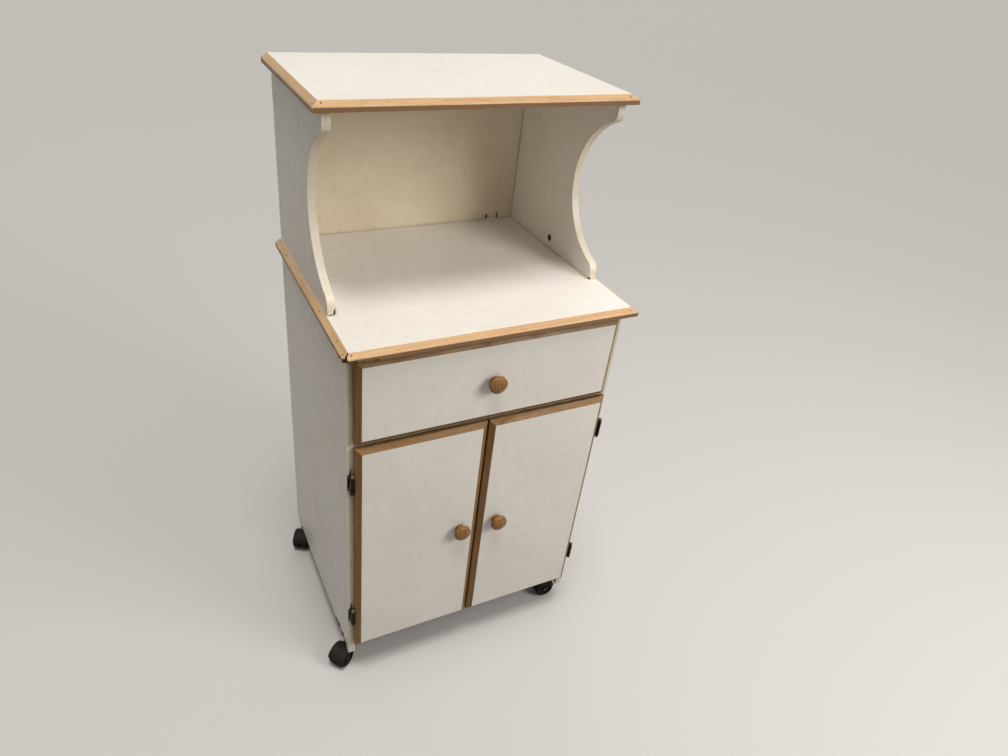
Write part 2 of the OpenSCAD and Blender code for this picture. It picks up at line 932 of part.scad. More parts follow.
// A pin with a turned finial at each end of the barrel
module hinge_pins() {
    collar_h = 1.2;
    ball_r = 0.8 * barrel_r;
    ball_z = finial_h - ball_r;
    ball_a = -asin(min(1, (ball_z - collar_h) / ball_r));
    color("saddlebrown")
        for (side = [-1, 1])
            at_hinges(side) {
                translate([0, 0, -barrel_h / 2 - slide_gap])
                    cylinder(r = hinge_pin_r, h = barrel_h + 2 * slide_gap);
                for (up = [-1, 1])
                    scale([1, 1, up])
                        translate([0, 0, barrel_h / 2 + slide_gap])
                            rotate_extrude()
                                polygon(concat(
                                    [[0, 0], [barrel_r - held_fit, 0], [barrel_r - held_fit, collar_h]],
                                    arc([0, ball_z], ball_r, ball_a, 90, 10)
                                ));
            }
}

module hinge_screws() {
    color("saddlebrown")
        for (side = [-1, 1])
            at_hinges(side)
                for (dz = [-leaf_screw_z, leaf_screw_z])
                    translate([screw_head_r + screw_margin - leaf_reach(side), pin_rise - leaf_t, dz])
                        rotate([-90, 0, 0]) {
                            cylinder(r = screw_r, h = screw_len);
                            translate([0, 0, -screw_head_t])
                                cylinder(r = screw_head_r, h = screw_head_t);
                        }
}

// The leaf behind the door wraps its edge and carries the two end knuckles
module door_leaf() {
    back_y = hinge_d - door_back_d;
    wrap_x = barrel_r - leaf_t;
    difference() {
        union() {
            translate([wrap_x, back_y, -barrel_h / 2])
                cube([door_leaf_w - wrap_x, leaf_t, barrel_h]);
            for (z = [-barrel_h / 2, knuckle_h / 2 + slide_gap])
                translate([0, 0, z]) {
                    cylinder(r = barrel_r, h = end_knuckle_h - slide_gap);
                    translate([wrap_x, 0, 0])
                        cube([leaf_t, back_y + leaf_t, end_knuckle_h - slide_gap]);
                }
        }
        translate([0, 0, -barrel_h])
            cylinder(r = hinge_pin_r + run_fit, h = 2 * barrel_h);
        for (dz = [-leaf_screw_z, leaf_screw_z])
            translate([door_screw_x(), back_y - 1, dz])
                rotate([-90, 0, 0])
                    cylinder(r = screw_r + held_fit, h = leaf_t + 2);
    }
}

module door_leaf_screws(side, grow) {
    back_y = hinge_d - door_back_d;
    at_hinges(side)
        for (dz = [-leaf_screw_z, leaf_screw_z])
            translate([door_screw_x(), back_y + leaf_t, dz])
                rotate([90, 0, 0])
                    cylinder(r = screw_r + grow, h = leaf_t + board_t / 2 + grow);
}

module door_screws(side, knob_x) {
    color("silver") {
        door_leaf_screws(side, 0);
        on_front(knob_x, door_knob_z)
            knob_screw_shape(board_t);
    }
}

module door_left_hinge_leaves() {
    color("saddlebrown")
        at_hinges(-1)
            door_leaf();
}

module door_right_hinge_leaves() {
    color("saddlebrown")
        at_hinges(1)
            door_leaf();
}

module door_left_screws() {
    door_screws(-1, knob_left_x);
}

module door_right_screws() {
    door_screws(1, knob_right_x);
}

// Casters. Each is drawn with its stem on the Z axis and its axle towards +X.
function stem_place(i) = [(i % 2 == 0 ? -1 : 1) * side_mid, i < 2 ? front_stem_d : rear_stem_d];

module at_stem(i) {
    translate([stem_place(i)[0], -stem_place(i)[1], 0])
        rotate(caster_turn[i])
            children();
}

module along_axle(from, to, r) {
    translate([caster_offset, to, wheel_r])
        rotate([90, 0, 0])
            cylinder(r = r, h = to - from);
}

stem_foot = wheel_r + hood_r * 0.6;

// Half cross-section of a drum round the axle, up to a flat end: its outer shoulder is rounded
module drum_profile(r, end, shoulder, shoulder_at) {
    end_a = asin(min(1, (end - shoulder_at) / shoulder));
    polygon(concat(
        [[0, 0], [r, 0]],
        arc([r - shoulder, shoulder_at], shoulder, 0, end_a, 8),
        [[0, end]]
    ));
}

// Such a drum on one side of the web, grown from a wheel's outline
module half_drum(side, start, end, grow) {
    translate([caster_offset, side * start, wheel_r])
        rotate([-90 * side, 0, 0])
            rotate_extrude($fn = 96)
                drum_profile(wheel_r + grow, end - start, wheel_shoulder + grow, hood_side - wheel_shoulder - start);
}

// The hood is a shell round the upper halves of the wheels, with a web between them that holds the axle
module caster_hood() {
    difference() {
        union() {
            for (side = [-1, 1])
                half_drum(side, 0, hood_end, wheel_gap + hood_t);
            translate([0, 0, wheel_r])
                cylinder(r = stem_r + stem_boss_t, h = hood_r + 0.5);
        }
        translate([-hood_r, -hood_side - 1, wheel_r - hood_r - 1])
            cube([4 * hood_r, 2 * hood_side + 2, hood_r + hood_rise + 1]);
        for (side = [-1, 1])
            half_drum(side, web_t / 2, hood_end + 1, wheel_gap);
        translate([0, 0, stem_foot])
            cylinder(r = stem_r + held_fit, h = hood_r);
    }
    difference() {
        intersection() {
            along_axle(-web_t / 2, web_t / 2, wheel_r + wheel_gap);
            union() {
                translate([0, -hood_side, wheel_r])
                    cube([2 * caster_offset, 2 * hood_side, hood_r]);
                along_axle(-hood_side, hood_side, 4 * axle_r);
            }
        }
        along_axle(-hood_side, hood_side, axle_r + held_fit);
        translate([0, 0, stem_foot])
            cylinder(r = stem_r + held_fit, h = hood_r);
    }
}

module caster_pins() {
    translate([0, 0, stem_foot])
        cylinder(r = stem_r, h = floor_clear + stem_grip - stem_foot);
    along_axle(-hood_end, hood_end, axle_r);
}

// A pair of wheels with rounded shoulders, and a dish round the hub in each outer face
module caster_wheels() {
    bore_r = axle_r + run_fit;
    dish_r = wheel_r - wheel_shoulder - 1.2;
    hub_r = 3 * axle_r;
    dish_t = 3.5;
    for (side = [-1, 1])
        translate([caster_offset, side * (web_t / 2 + slide_gap), wheel_r])
            rotate([-90 * side, 0, 0])
                rotate_extrude($fn = 96)
                    polygon(concat(
                        [[bore_r, 0], [wheel_r, 0]],
                        arc([wheel_r - wheel_shoulder, wheel_w - wheel_shoulder], wheel_shoulder, 0, 90, 8),
                        [
                            [dish_r, wheel_w],
                            [dish_r, wheel_w - dish_t],
                            [hub_r, wheel_w - dish_t],
                            [hub_r, wheel_w],
                            [bore_r, wheel_w]
                        ]
                    ));
}

module caster_sockets() {
    color("silver")
        for (i = [0:3])
            at_stem(i)
                difference() {
                    union() {
                        translate([0, 0, floor_clear])
                            cylinder(r = socket_r, h = socket_h);
                        translate([0, 0, floor_clear - socket_flange_t])
                            cylinder(r = socket_flange_r, h = socket_flange_t);
                    }
                    translate([0, 0, floor_clear - socket_flange_t - cut])
                        cylinder(r = stem_r + run_fit, h = socket_h + socket_flange_t + 2 * cut);
                }
}

module caster_fl_hood() {
    color("dimgray")
        at_stem(0)
            caster_hood();
}

module caster_fl_pins() {
    color("silver")
        at_stem(0)
            caster_pins();
}

module caster_fl_wheels() {
    color("black")
        at_stem(0)
            caster_wheels();
}

module caster_fr_hood() {
    color("dimgray")
        at_stem(1)
            caster_hood();
}

module caster_fr_pins() {
    color("silver")
        at_stem(1)
            caster_pins();
}

module caster_fr_wheels() {
    color("black")
        at_stem(1)
            caster_wheels();
}

module caster_rl_hood() {
    color("dimgray")
        at_stem(2)
            caster_hood();
}

module caster_rl_pins() {
    color("silver")
        at_stem(2)
            caster_pins();
}

module caster_rl_wheels() {
    color("black")
        at_stem(2)
            caster_wheels();
}

module caster_rr_hood() {
    color("dimgray")
        at_stem(3)
            caster_hood();
}

module caster_rr_pins() {
    color("silver")
        at_stem(3)
            caster_pins();
}

module caster_rr_wheels() {
    color("black")
        at_stem(3)
            caster_wheels();
}

placed() side_panel_left();
placed() side_panel_right();
placed() floor_panel();
placed() drawer_rail();
placed() top_rails();
placed() cabinet_back();
placed() inner_shelf();
placed() shelf_pins();
placed() cam_locks();
placed() worktop_board();
placed() worktop_trim_front();
placed() worktop_trim_left();
placed() worktop_trim_right();
placed() hutch_side_left();
placed() hutch_side_right();
placed() hutch_back();
placed() hutch_dowels();
placed() top_board();
placed() top_trim_front();
placed() top_trim_left();
placed() top_trim_right();
placed() runner_left();
placed() runner_right();
placed() hinge_frame_leaves();
placed() hinge_pins();
placed() hinge_screws();
placed() caster_sockets();
placed() drawer_front();
placed() drawer_trim();
placed() drawer_side_left();
placed() drawer_side_right();
placed() drawer_box_front();
placed() drawer_box_back();
placed() drawer_bottom();
placed() drawer_slide_left();
placed() drawer_slide_right();
placed() drawer_knob();
placed() drawer_knob_screw();
placed() door_left_panel();
placed() door_left_trim();
placed() door_left_knob();
placed() door_left_hinge_leaves();
placed() door_left_screws();
placed() door_right_panel();
placed() door_right_trim();
placed() door_right_knob();
placed() door_right_hinge_leaves();
placed() door_right_screws();
placed() caster_fl_hood();
placed() caster_fl_pins();
placed() caster_fl_wheels();
placed() caster_fr_hood();
placed() caster_fr_pins();
placed() caster_fr_wheels();
placed() caster_rl_hood();
placed() caster_rl_pins();
placed() caster_rl_wheels();
placed() caster_rr_hood();
placed() caster_rr_pins();
placed() caster_rr_wheels();
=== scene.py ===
"""The looks of the rolling kitchen cabinet: eased edges, wear, small hardware, finishes, light and camera."""
import json
import math

import bpy
import bmesh
from mathutils import Matrix, Vector, noise as field


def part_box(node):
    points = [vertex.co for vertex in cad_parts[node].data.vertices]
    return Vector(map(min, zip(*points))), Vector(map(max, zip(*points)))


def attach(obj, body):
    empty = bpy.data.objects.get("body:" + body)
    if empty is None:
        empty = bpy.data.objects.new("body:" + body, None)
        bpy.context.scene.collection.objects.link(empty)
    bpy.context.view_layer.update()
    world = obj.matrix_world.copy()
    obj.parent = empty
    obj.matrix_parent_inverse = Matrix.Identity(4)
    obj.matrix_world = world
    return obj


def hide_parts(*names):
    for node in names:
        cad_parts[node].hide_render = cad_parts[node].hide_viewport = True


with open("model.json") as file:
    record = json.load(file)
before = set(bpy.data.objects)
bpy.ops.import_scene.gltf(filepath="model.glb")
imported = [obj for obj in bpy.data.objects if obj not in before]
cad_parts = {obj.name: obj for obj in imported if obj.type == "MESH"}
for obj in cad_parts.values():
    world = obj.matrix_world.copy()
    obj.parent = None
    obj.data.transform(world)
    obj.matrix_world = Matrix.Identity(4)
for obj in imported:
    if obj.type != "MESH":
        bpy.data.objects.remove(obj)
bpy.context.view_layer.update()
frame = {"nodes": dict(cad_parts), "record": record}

MM = 0.001
SHARP = math.radians(30)
NODES = frame["nodes"]
SLOTS = {s["node"]: s["material_slot"] for s in frame["record"]["subparts"]}
BODY_OF = {n: b for b, members in frame["record"]["behaviour"]["bodies"].items() for n in members}


# Edit-mode helpers

def select_none():
    """Leaves object mode with nothing selected, so that an operator acts on the new piece alone."""
    if bpy.context.object and bpy.context.object.mode != "OBJECT":
        bpy.ops.object.mode_set(mode="OBJECT")
    bpy.ops.object.select_all(action="DESELECT")


def select(piece):
    select_none()
    piece.select_set(True)
    bpy.context.view_layer.objects.active = piece
    return piece


def edit(piece):
    select(piece)
    bpy.ops.object.mode_set(mode="EDIT")
    bpy.ops.mesh.select_mode(type="VERT")


def done(piece):
    bpy.ops.object.mode_set(mode="OBJECT")
    piece.select_set(False)
    return piece


def smooth(piece, angle=35):
    select(piece)
    bpy.ops.object.shade_smooth_by_angle(angle=math.radians(angle))
    piece.select_set(False)
    return piece


def flatten_shading(piece):
    """Lets the broad faces keep their own normal, so that only the narrow eased edges shade round."""
    m = piece.modifiers.new("weighted", "WEIGHTED_NORMAL")
    m.mode = "FACE_AREA"
    m.weight = 100
    m.keep_sharp = True
    return apply_modifiers(piece)


def settle(piece):
    """Puts a piece's place and turn into its mesh, so that its object sits at the origin."""
    select(piece)
    bpy.ops.object.transform_apply(location=True, rotation=True, scale=True)
    piece.select_set(False)
    return piece


def select_edges(piece, test):
    """Selects, in edit mode, the edges that pass a test."""
    bpy.ops.mesh.select_all(action="DESELECT")
    bpy.ops.mesh.select_mode(type="EDGE")
    bm = bmesh.from_edit_mesh(piece.data)
    for e in bm.edges:
        e.select = test(e)
    bm.select_flush_mode()
    bmesh.update_edit_mesh(piece.data)


def select_faces(piece, test):
    """Selects, in edit mode, the faces that pass a test."""
    bpy.ops.mesh.select_all(action="DESELECT")
    bpy.ops.mesh.select_mode(type="FACE")
    bm = bmesh.from_edit_mesh(piece.data)
    for f in bm.faces:
        f.select = test(f)
    bm.select_flush_mode()
    bmesh.update_edit_mesh(piece.data)


def apply_modifiers(piece):
    select(piece)
    for modifier in list(piece.modifiers):
        bpy.ops.object.modifier_apply(modifier=modifier.name)
    piece.select_set(False)
    return piece


def merged_copy(node, name):
    """A plain copy of a CAD node with its loose triangles merged into faces."""
    piece = NODES[node].copy()
    piece.data = NODES[node].data.copy()
    for key in list(piece.keys()):
        del piece[key]
    piece.parent = None
    piece.name = name
    bpy.context.scene.collection.objects.link(piece)
    edit(piece)
    bpy.ops.mesh.select_all(action="SELECT")
    bpy.ops.mesh.remove_doubles(threshold=1e-6)
    bpy.ops.mesh.dissolve_limited(angle_limit=math.radians(0.5))
    bpy.ops.mesh.customdata_custom_splitnormals_clear()
    return done(piece)


def round_over(width):
    """Rounds the selected edges by width, in mm."""
    bpy.ops.mesh.bevel(offset=width * MM, segments=2, affect="EDGES", clamp_overlap=False)


def ease(piece, width, shortest):
    """Rounds the sharp edges that are longer than shortest, in mm."""
    edit(piece)
    select_edges(piece, lambda e: len(e.link_faces) == 2 and e.calc_length() > shortest * MM
                 and e.calc_face_angle(0) > SHARP)
    round_over(width)
    return done(piece)


def ease_rim(piece, width):
    """Rounds the whole outline of a board whose broad faces look left and right."""
    def on_rim(e):
        if len(e.link_faces) != 2:
            return False
        low, high = sorted(abs(f.normal.x) for f in e.link_faces)
        return high > 0.99 and low < 0.5
    edit(piece)
    select_edges(piece, on_rim)
    round_over(width)
    return done(piece)


def stand_for(piece, *nodes):
    """Lets a finished piece take the place and the body of the CAD nodes that it shows."""
    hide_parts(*nodes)
    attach(piece, BODY_OF[nodes[0]])
    return piece


def paint(piece, *materials):
    """Gives a piece its materials, in the order of its faces' material numbers."""
    piece.data.materials.clear()
    for m in materials:
        piece.data.materials.append(m)
    return piece


def island_boxes(node):
    """The lowest and highest corners of each separate solid in a CAD node."""
    piece = merged_copy(node, "measured")
    bm = bmesh.new()
    bm.from_mesh(piece.data)
    bpy.data.objects.remove(piece)
    boxes = []
    for group in islands(bm):
        points = [v.co for v in group]
        boxes.append((Vector([min(p[i] for p in points) for i in range(3)]),
                      Vector([max(p[i] for p in points) for i in range(3)])))
    bm.free()
    return boxes


def islands(bm):
    """The connected groups of vertices in a mesh."""
    seen, groups = set(), []
    for start in bm.verts:
        if start in seen:
            continue
        seen.add(start)
        group, edge = [start], [start]
        while edge:
            v = edge.pop()
            for e in v.link_edges:
                w = e.other_vert(v)
                if w not in seen:
                    seen.add(w)
                    group.append(w)
                    edge.append(w)
        groups.append(group)
    return groups


# Shader building

def new_material(name):
    m = bpy.data.materials.new(name)
    m.use_nodes = True
    nt = m.node_tree
    nt.nodes.clear()
    out = nt.nodes.new("ShaderNodeOutputMaterial")
    bsdf = nt.nodes.new("ShaderNodeBsdfPrincipled")
    nt.links.new(bsdf.outputs["BSDF"], out.inputs["Surface"])
    return m, nt, bsdf


def put(nt, socket, value):
    """Links an output to a socket, or sets the socket's value; a colour may be three numbers."""
    if isinstance(value, bpy.types.NodeSocket):
        nt.links.new(value, socket)
    elif socket.type == "RGBA" and len(value) == 3:
        socket.default_value = (*value, 1)
    else:
        socket.default_value = value


def wire(nt, kind, inputs=None, **settings):
    """Adds a node, sets its properties and its sockets."""
    n = nt.nodes.new(kind)
    for key, value in settings.items():
        setattr(n, key, value)
    for key, value in (inputs or {}).items():
        put(nt, n.inputs[key], value)
    return n


def calc(nt, operation, *values):
    return wire(nt, "ShaderNodeMath", dict(enumerate(values)), operation=operation).outputs[0]


def span(nt, value, low, high, to_low=0.0, to_high=1.0):
    """Eases a value from low..high to to_low..to_high."""
    ends = {"Value": value, "From Min": low, "From Max": high, "To Min": to_low, "To Max": to_high}
    return wire(nt, "ShaderNodeMapRange", ends, interpolation_type="SMOOTHSTEP").outputs[0]


def mix(nt, factor, a, b, blend="MIX"):
    """Goes from colour a to colour b by a factor."""
    n = nt.nodes.new("ShaderNodeMix")
    n.data_type = "RGBA"
    n.blend_type = blend
    for index, value in ((0, factor), (6, a), (7, b)):
        put(nt, n.inputs[index], value)
    return n.outputs[2]


def cloud(nt, vector, scale, detail=3.0, roughness=0.5, distortion=0.0):
    """Noise: its scale is in cycles a metre."""
    return wire(nt, "ShaderNodeTexNoise", {"Vector": vector, "Scale": scale, "Detail": detail,
                                           "Roughness": roughness, "Distortion": distortion}).outputs[0]


def mapped(nt, vector, scale=(1, 1, 1), turn=(0, 0, 0)):
    return wire(nt, "ShaderNodeMapping", {"Vector": vector, "Scale": scale, "Rotation": turn}).outputs[0]


def here(nt):
    """The place on the object, in metres."""
    return nt.nodes.new("ShaderNodeTexCoord").outputs["Object"]


def facing_up(nt, normal="Normal"):
    """One on a face that looks up, nought on an upright one."""
    own = nt.nodes.new("ShaderNodeNewGeometry").outputs[normal]
    return wire(nt, "ShaderNodeSeparateXYZ", {"Vector": own}).outputs["Z"]


def bumped(nt, bsdf, height, depth, strength):
    """Raises a relief whose depth is in metres."""
    n = wire(nt, "ShaderNodeBump", {"Height": height, "Distance": depth, "Strength": strength})
    nt.links.new(n.outputs["Normal"], bsdf.inputs["Normal"])


KINDS = {"f": "NodeSocketFloat", "v": "NodeSocketVector", "c": "NodeSocketColor"}


def effect(name, takes, gives):
    """A shader node group with named inputs and outputs: returns it, its inputs' values and its outputs."""
    g = bpy.data.node_groups.new(name, "ShaderNodeTree")
    for label, kind, value in takes:
        s = g.interface.new_socket(label, in_out="INPUT", socket_type=KINDS[kind])
        if value is not None:
            s.default_value = value
    for label, kind in gives:
        g.interface.new_socket(label, in_out="OUTPUT", socket_type=KINDS[kind])
    return g, g.nodes.new("NodeGroupInput").outputs, g.nodes.new("NodeGroupOutput").inputs


def use(nt, group, **inputs):
    """Places an effect in a material with its own values."""
    n = nt.nodes.new("ShaderNodeGroup")
    n.node_tree = group
    for key, value in inputs.items():
        put(nt, n.inputs[key], value)
    return n.outputs


def make_edge_wear():
    """Rubbed edges: where the rounded normal leaves the surface's own, in patches."""
    takes = [("Width", "f", 0.0006), ("Patches", "f", 60.0), ("Amount", "f", 0.5)]
    g, given, out = effect("edge_wear", takes, [("Mask", "f")])
    rounded = wire(g, "ShaderNodeBevel", {"Radius": given["Width"]}, samples=4).outputs["Normal"]
    own = g.nodes.new("ShaderNodeNewGeometry").outputs["Normal"]
    along = wire(g, "ShaderNodeVectorMath", {0: rounded, 1: own}, operation="DOT_PRODUCT").outputs["Value"]
    edge = span(g, calc(g, "SUBTRACT", 1.0, along), 0.004, 0.08)
    start = calc(g, "MULTIPLY_ADD", given["Amount"], -0.5, 0.72)
    patch = span(g, cloud(g, here(g), given["Patches"], 4.0, 0.65), start, calc(g, "ADD", start, 0.12))
    g.links.new(calc(g, "MULTIPLY", edge, patch), out["Mask"])
    return g


def make_corner_shade_and_grime():
    """Painted shade, with some dirt, where two surfaces meet: darker wherever ambient occlusion finds a
    surface near.
    """
    takes = [("Reach", "f", 0.012), ("Patches", "f", 25.0), ("Amount", "f", 0.5)]
    g, given, out = effect("corner_shade_and_grime", takes, [("Mask", "f")])
    open_sky = wire(g, "ShaderNodeAmbientOcclusion", {"Distance": given["Reach"]}, samples=6).outputs["AO"]
    corner = span(g, calc(g, "SUBTRACT", 1.0, open_sky), 0.18, 0.75)
    patch = span(g, cloud(g, here(g), given["Patches"], 5.0, 0.6), 0.3, 0.7, 0.25, 1.0)
    g.links.new(calc(g, "MULTIPLY", calc(g, "MULTIPLY", corner, patch), given["Amount"]), out["Mask"])
    return g


def make_wood_grain():
    """Grain along X, other in each separate strip: broad streaks, fine fibres and dark pores."""
    gives = [("Streak", "f"), ("Fibre", "f"), ("Pores", "f")]
    g, given, out = effect("wood_grain", [("Vector", "v", None)], gives)
    island = g.nodes.new("ShaderNodeNewGeometry").outputs["Random Per Island"]
    shift = wire(g, "ShaderNodeCombineXYZ", {"X": calc(g, "MULTIPLY", island, 7.0), "Y": island}).outputs[0]
    moved = wire(g, "ShaderNodeVectorMath", {0: given["Vector"], 1: shift}, operation="ADD").outputs["Vector"]
    g.links.new(cloud(g, mapped(g, moved, (7, 240, 240)), 1.0, 4.0, 0.6, 0.5), out["Streak"])
    g.links.new(cloud(g, mapped(g, moved, (24, 1300, 1300)), 1.0, 3.0, 0.6), out["Fibre"])
    g.links.new(span(g, cloud(g, mapped(g, moved, (75, 2200, 2200)), 1.0, 1.0), 0.6, 0.72), out["Pores"])
    return g


def make_marks():
    """Household marks on a wipe-clean surface: slow toning, smudges and a few small specks."""
    takes = [("Smudges", "f", 0.4), ("Specks", "f", 0.4)]
    g, given, out = effect("household_marks", takes, [("Tone", "f"), ("Smudge", "f"), ("Speck", "f")])
    at = here(g)
    g.links.new(span(g, cloud(g, at, 4.5, 4.0, 0.55, 0.4), 0.34, 0.68), out["Tone"])
    smear = cloud(g, mapped(g, at, (14, 14, 9)), 1.0, 6.0, 0.62, 0.9)
    g.links.new(calc(g, "MULTIPLY", span(g, smear, 0.55, 0.76), given["Smudges"]), out["Smudge"])
    cells = wire(g, "ShaderNodeTexVoronoi", {"Vector": at, "Scale": 46.0, "Randomness": 1.0})
    near = span(g, cells.outputs["Distance"], 0.055, 0.025)
    chosen = wire(g, "ShaderNodeSeparateColor", {"Color": cells.outputs["Color"]}).outputs[0]
    few = span(g, chosen, 0.93, 0.95)
    g.links.new(calc(g, "MULTIPLY", calc(g, "MULTIPLY", near, few), given["Specks"]), out["Speck"])
    return g


def make_dust():
    """Dust that lies on whatever faces up."""
    g, given, out = effect("settled_dust", [("Amount", "f", 0.5), ("Grain", "f", 500.0)], [("Mask", "f")])
    lying = span(g, facing_up(g), -0.1, 0.95)
    patch = span(g, cloud(g, here(g), given["Grain"], 5.0, 0.65), 0.35, 0.65, 0.3, 1.0)
    g.links.new(calc(g, "MULTIPLY", calc(g, "MULTIPLY", lying, patch), given["Amount"]), out["Mask"])
    return g


EDGE_WEAR = make_edge_wear()
CORNER_SHADE_AND_GRIME = make_corner_shade_and_grime()
WOOD_GRAIN = make_wood_grain()
MARKS = make_marks()
DUST = make_dust()

# Colours of dirt, of painted shade (with some dirt) in corners, seams and on faces that turn from up, and of
# what wear lays bare
# the first two tint painted shade: with some soil in corners, and along the seams between parts
SHADE_AND_SOIL_TINT = (0.30, 0.20, 0.11)
SEAM_SHADE_TINT = (0.10, 0.065, 0.035)
GRIT = (0.55, 0.52, 0.46)
SMEAR = (0.50, 0.42, 0.31)
SPECK = (0.16, 0.10, 0.055)
CHIPBOARD = (0.36, 0.24, 0.14)
KNOCKED = (0.38, 0.27, 0.16)
SIDE_SHADE_AND_HANDLING = (0.17, 0.078, 0.026)
# painted shade, with some dirt, in the wood's corners
WOOD_SHADE_AND_DIRT = (0.055, 0.032, 0.016)
METAL_DUST = (0.30, 0.27, 0.22)
PLASTIC_SCUFF = (0.16, 0.15, 0.14)
PLASTIC_DUST = (0.12, 0.10, 0.08)
# painted shade, with some dirt, in the plastic's corners
PLASTIC_SHADE_AND_DIRT = (0.05, 0.04, 0.03)


def deeper(color, share):
    """A colour taken down to a share of its strength."""
    return tuple(c * share for c in color)


def melamine(name, face, toned, shade_and_grime=0.55, wear=0.3, smudges=0.35, roughness=0.34):
    """White foil on particle board: toned with age, smudged, darkened in corners and seams by painted shade
    with some soil, chipped at the edges.
    """
    m, nt, bsdf = new_material(name)
    marks = use(nt, MARKS, Smudges=smudges, Specks=0.8)
    # painted shade, with some soil, in corners, and darker painted shade along the seams between parts
    shade_and_soil_mask = use(nt, CORNER_SHADE_AND_GRIME, Reach=0.016, Patches=22.0, Amount=shade_and_grime)["Mask"]
    seam_shade_mask = use(nt, CORNER_SHADE_AND_GRIME, Reach=0.0035, Patches=9.0, Amount=0.9)["Mask"]
    chipped = use(nt, EDGE_WEAR, Width=0.0007, Patches=55.0, Amount=wear)["Mask"]
    grit = cloud(nt, here(nt), 1400.0, 2.0)
    mottle = cloud(nt, here(nt), 38.0, 6.0, 0.65)
    color = mix(nt, marks["Tone"], face, toned)
    color = mix(nt, span(nt, mottle, 0.42, 0.72, 0.0, 0.16), color, deeper(toned, 0.72))
    color = mix(nt, span(nt, grit, 0.3, 0.7, 0.0, 0.05), color, GRIT)
    color = mix(nt, calc(nt, "MULTIPLY", marks["Smudge"], 0.35), color, SMEAR)
    color = mix(nt, marks["Speck"], color, SPECK)
    color = mix(nt, shade_and_soil_mask, color, SHADE_AND_SOIL_TINT)
    color = mix(nt, seam_shade_mask, color, SEAM_SHADE_TINT)
    color = mix(nt, chipped, color, CHIPBOARD)
    nt.links.new(color, bsdf.inputs["Base Color"])
    rough = calc(nt, "MULTIPLY_ADD", marks["Smudge"], 0.25, roughness)
    rough = calc(nt, "MULTIPLY_ADD", shade_and_soil_mask, 0.35, rough)
    nt.links.new(calc(nt, "MULTIPLY_ADD", chipped, 0.3, rough), bsdf.inputs["Roughness"])
    bumped(nt, bsdf, calc(nt, "MULTIPLY_ADD", chipped, -6.0, grit), 0.00004, 0.5)
    return m


def edge_band(name):
    """The glued band on a board's edge: creamier than the face, with drawn lines and knocks."""
    m, nt, bsdf = new_material(name)
    at = here(nt)
    lines = cloud(nt, mapped(nt, at, (1500, 1500, 6)), 1.0, 3.0, 0.6)
    knocks = cloud(nt, mapped(nt, at, (190, 190, 26)), 1.0, 5.0, 0.65)
    # painted shade, with some soil, where the band meets other parts
    shade_and_soil_mask = use(nt, CORNER_SHADE_AND_GRIME, Reach=0.012, Patches=30.0, Amount=0.6)["Mask"]
    chipped = use(nt, EDGE_WEAR, Width=0.0009, Patches=48.0, Amount=0.55)["Mask"]
    color = mix(nt, span(nt, lines, 0.35, 0.7), (0.79, 0.715, 0.585), (0.66, 0.575, 0.44))
    color = mix(nt, span(nt, knocks, 0.62, 0.72, 0.0, 0.75), color, KNOCKED)
    color = mix(nt, shade_and_soil_mask, color, SHADE_AND_SOIL_TINT)
    color = mix(nt, chipped, color, CHIPBOARD)
    nt.links.new(color, bsdf.inputs["Base Color"])
    nt.links.new(span(nt, knocks, 0.5, 0.75, 0.42, 0.75), bsdf.inputs["Roughness"])
    bumped(nt, bsdf, lines, 0.00008, 0.6)
    return m


def raw_chipboard_in_shade(name):
    """Broken particle board, with pale and dark chips, painted far darker than bare board so that it also
    stands for the shade in the bore and in broken edges.
    """
    m, nt, bsdf = new_material(name)
    at = here(nt)
    chips = wire(nt, "ShaderNodeTexVoronoi", {"Vector": mapped(nt, at, (420, 420, 900)), "Scale": 1.0})
    tone = wire(nt, "ShaderNodeSeparateColor", {"Color": chips.outputs["Color"]}).outputs[0]
    dust = cloud(nt, at, 600.0, 5.0, 0.7)
    # far darker than bare chipboard: painted shade for the bore and the broken edges
    color = mix(nt, tone, (0.035, 0.023, 0.013), (0.15, 0.10, 0.055))
    color = mix(nt, span(nt, dust, 0.35, 0.7), color, (0.05, 0.032, 0.018), "MULTIPLY")
    color = mix(nt, span(nt, tone, 0.84, 0.9, 0.0, 0.8), color, (0.55, 0.44, 0.30))
    nt.links.new(color, bsdf.inputs["Base Color"])
    bsdf.inputs["Roughness"].default_value = 0.9
    bumped(nt, bsdf, calc(nt, "ADD", chips.outputs["Distance"], dust), 0.0006, 0.9)
    return m


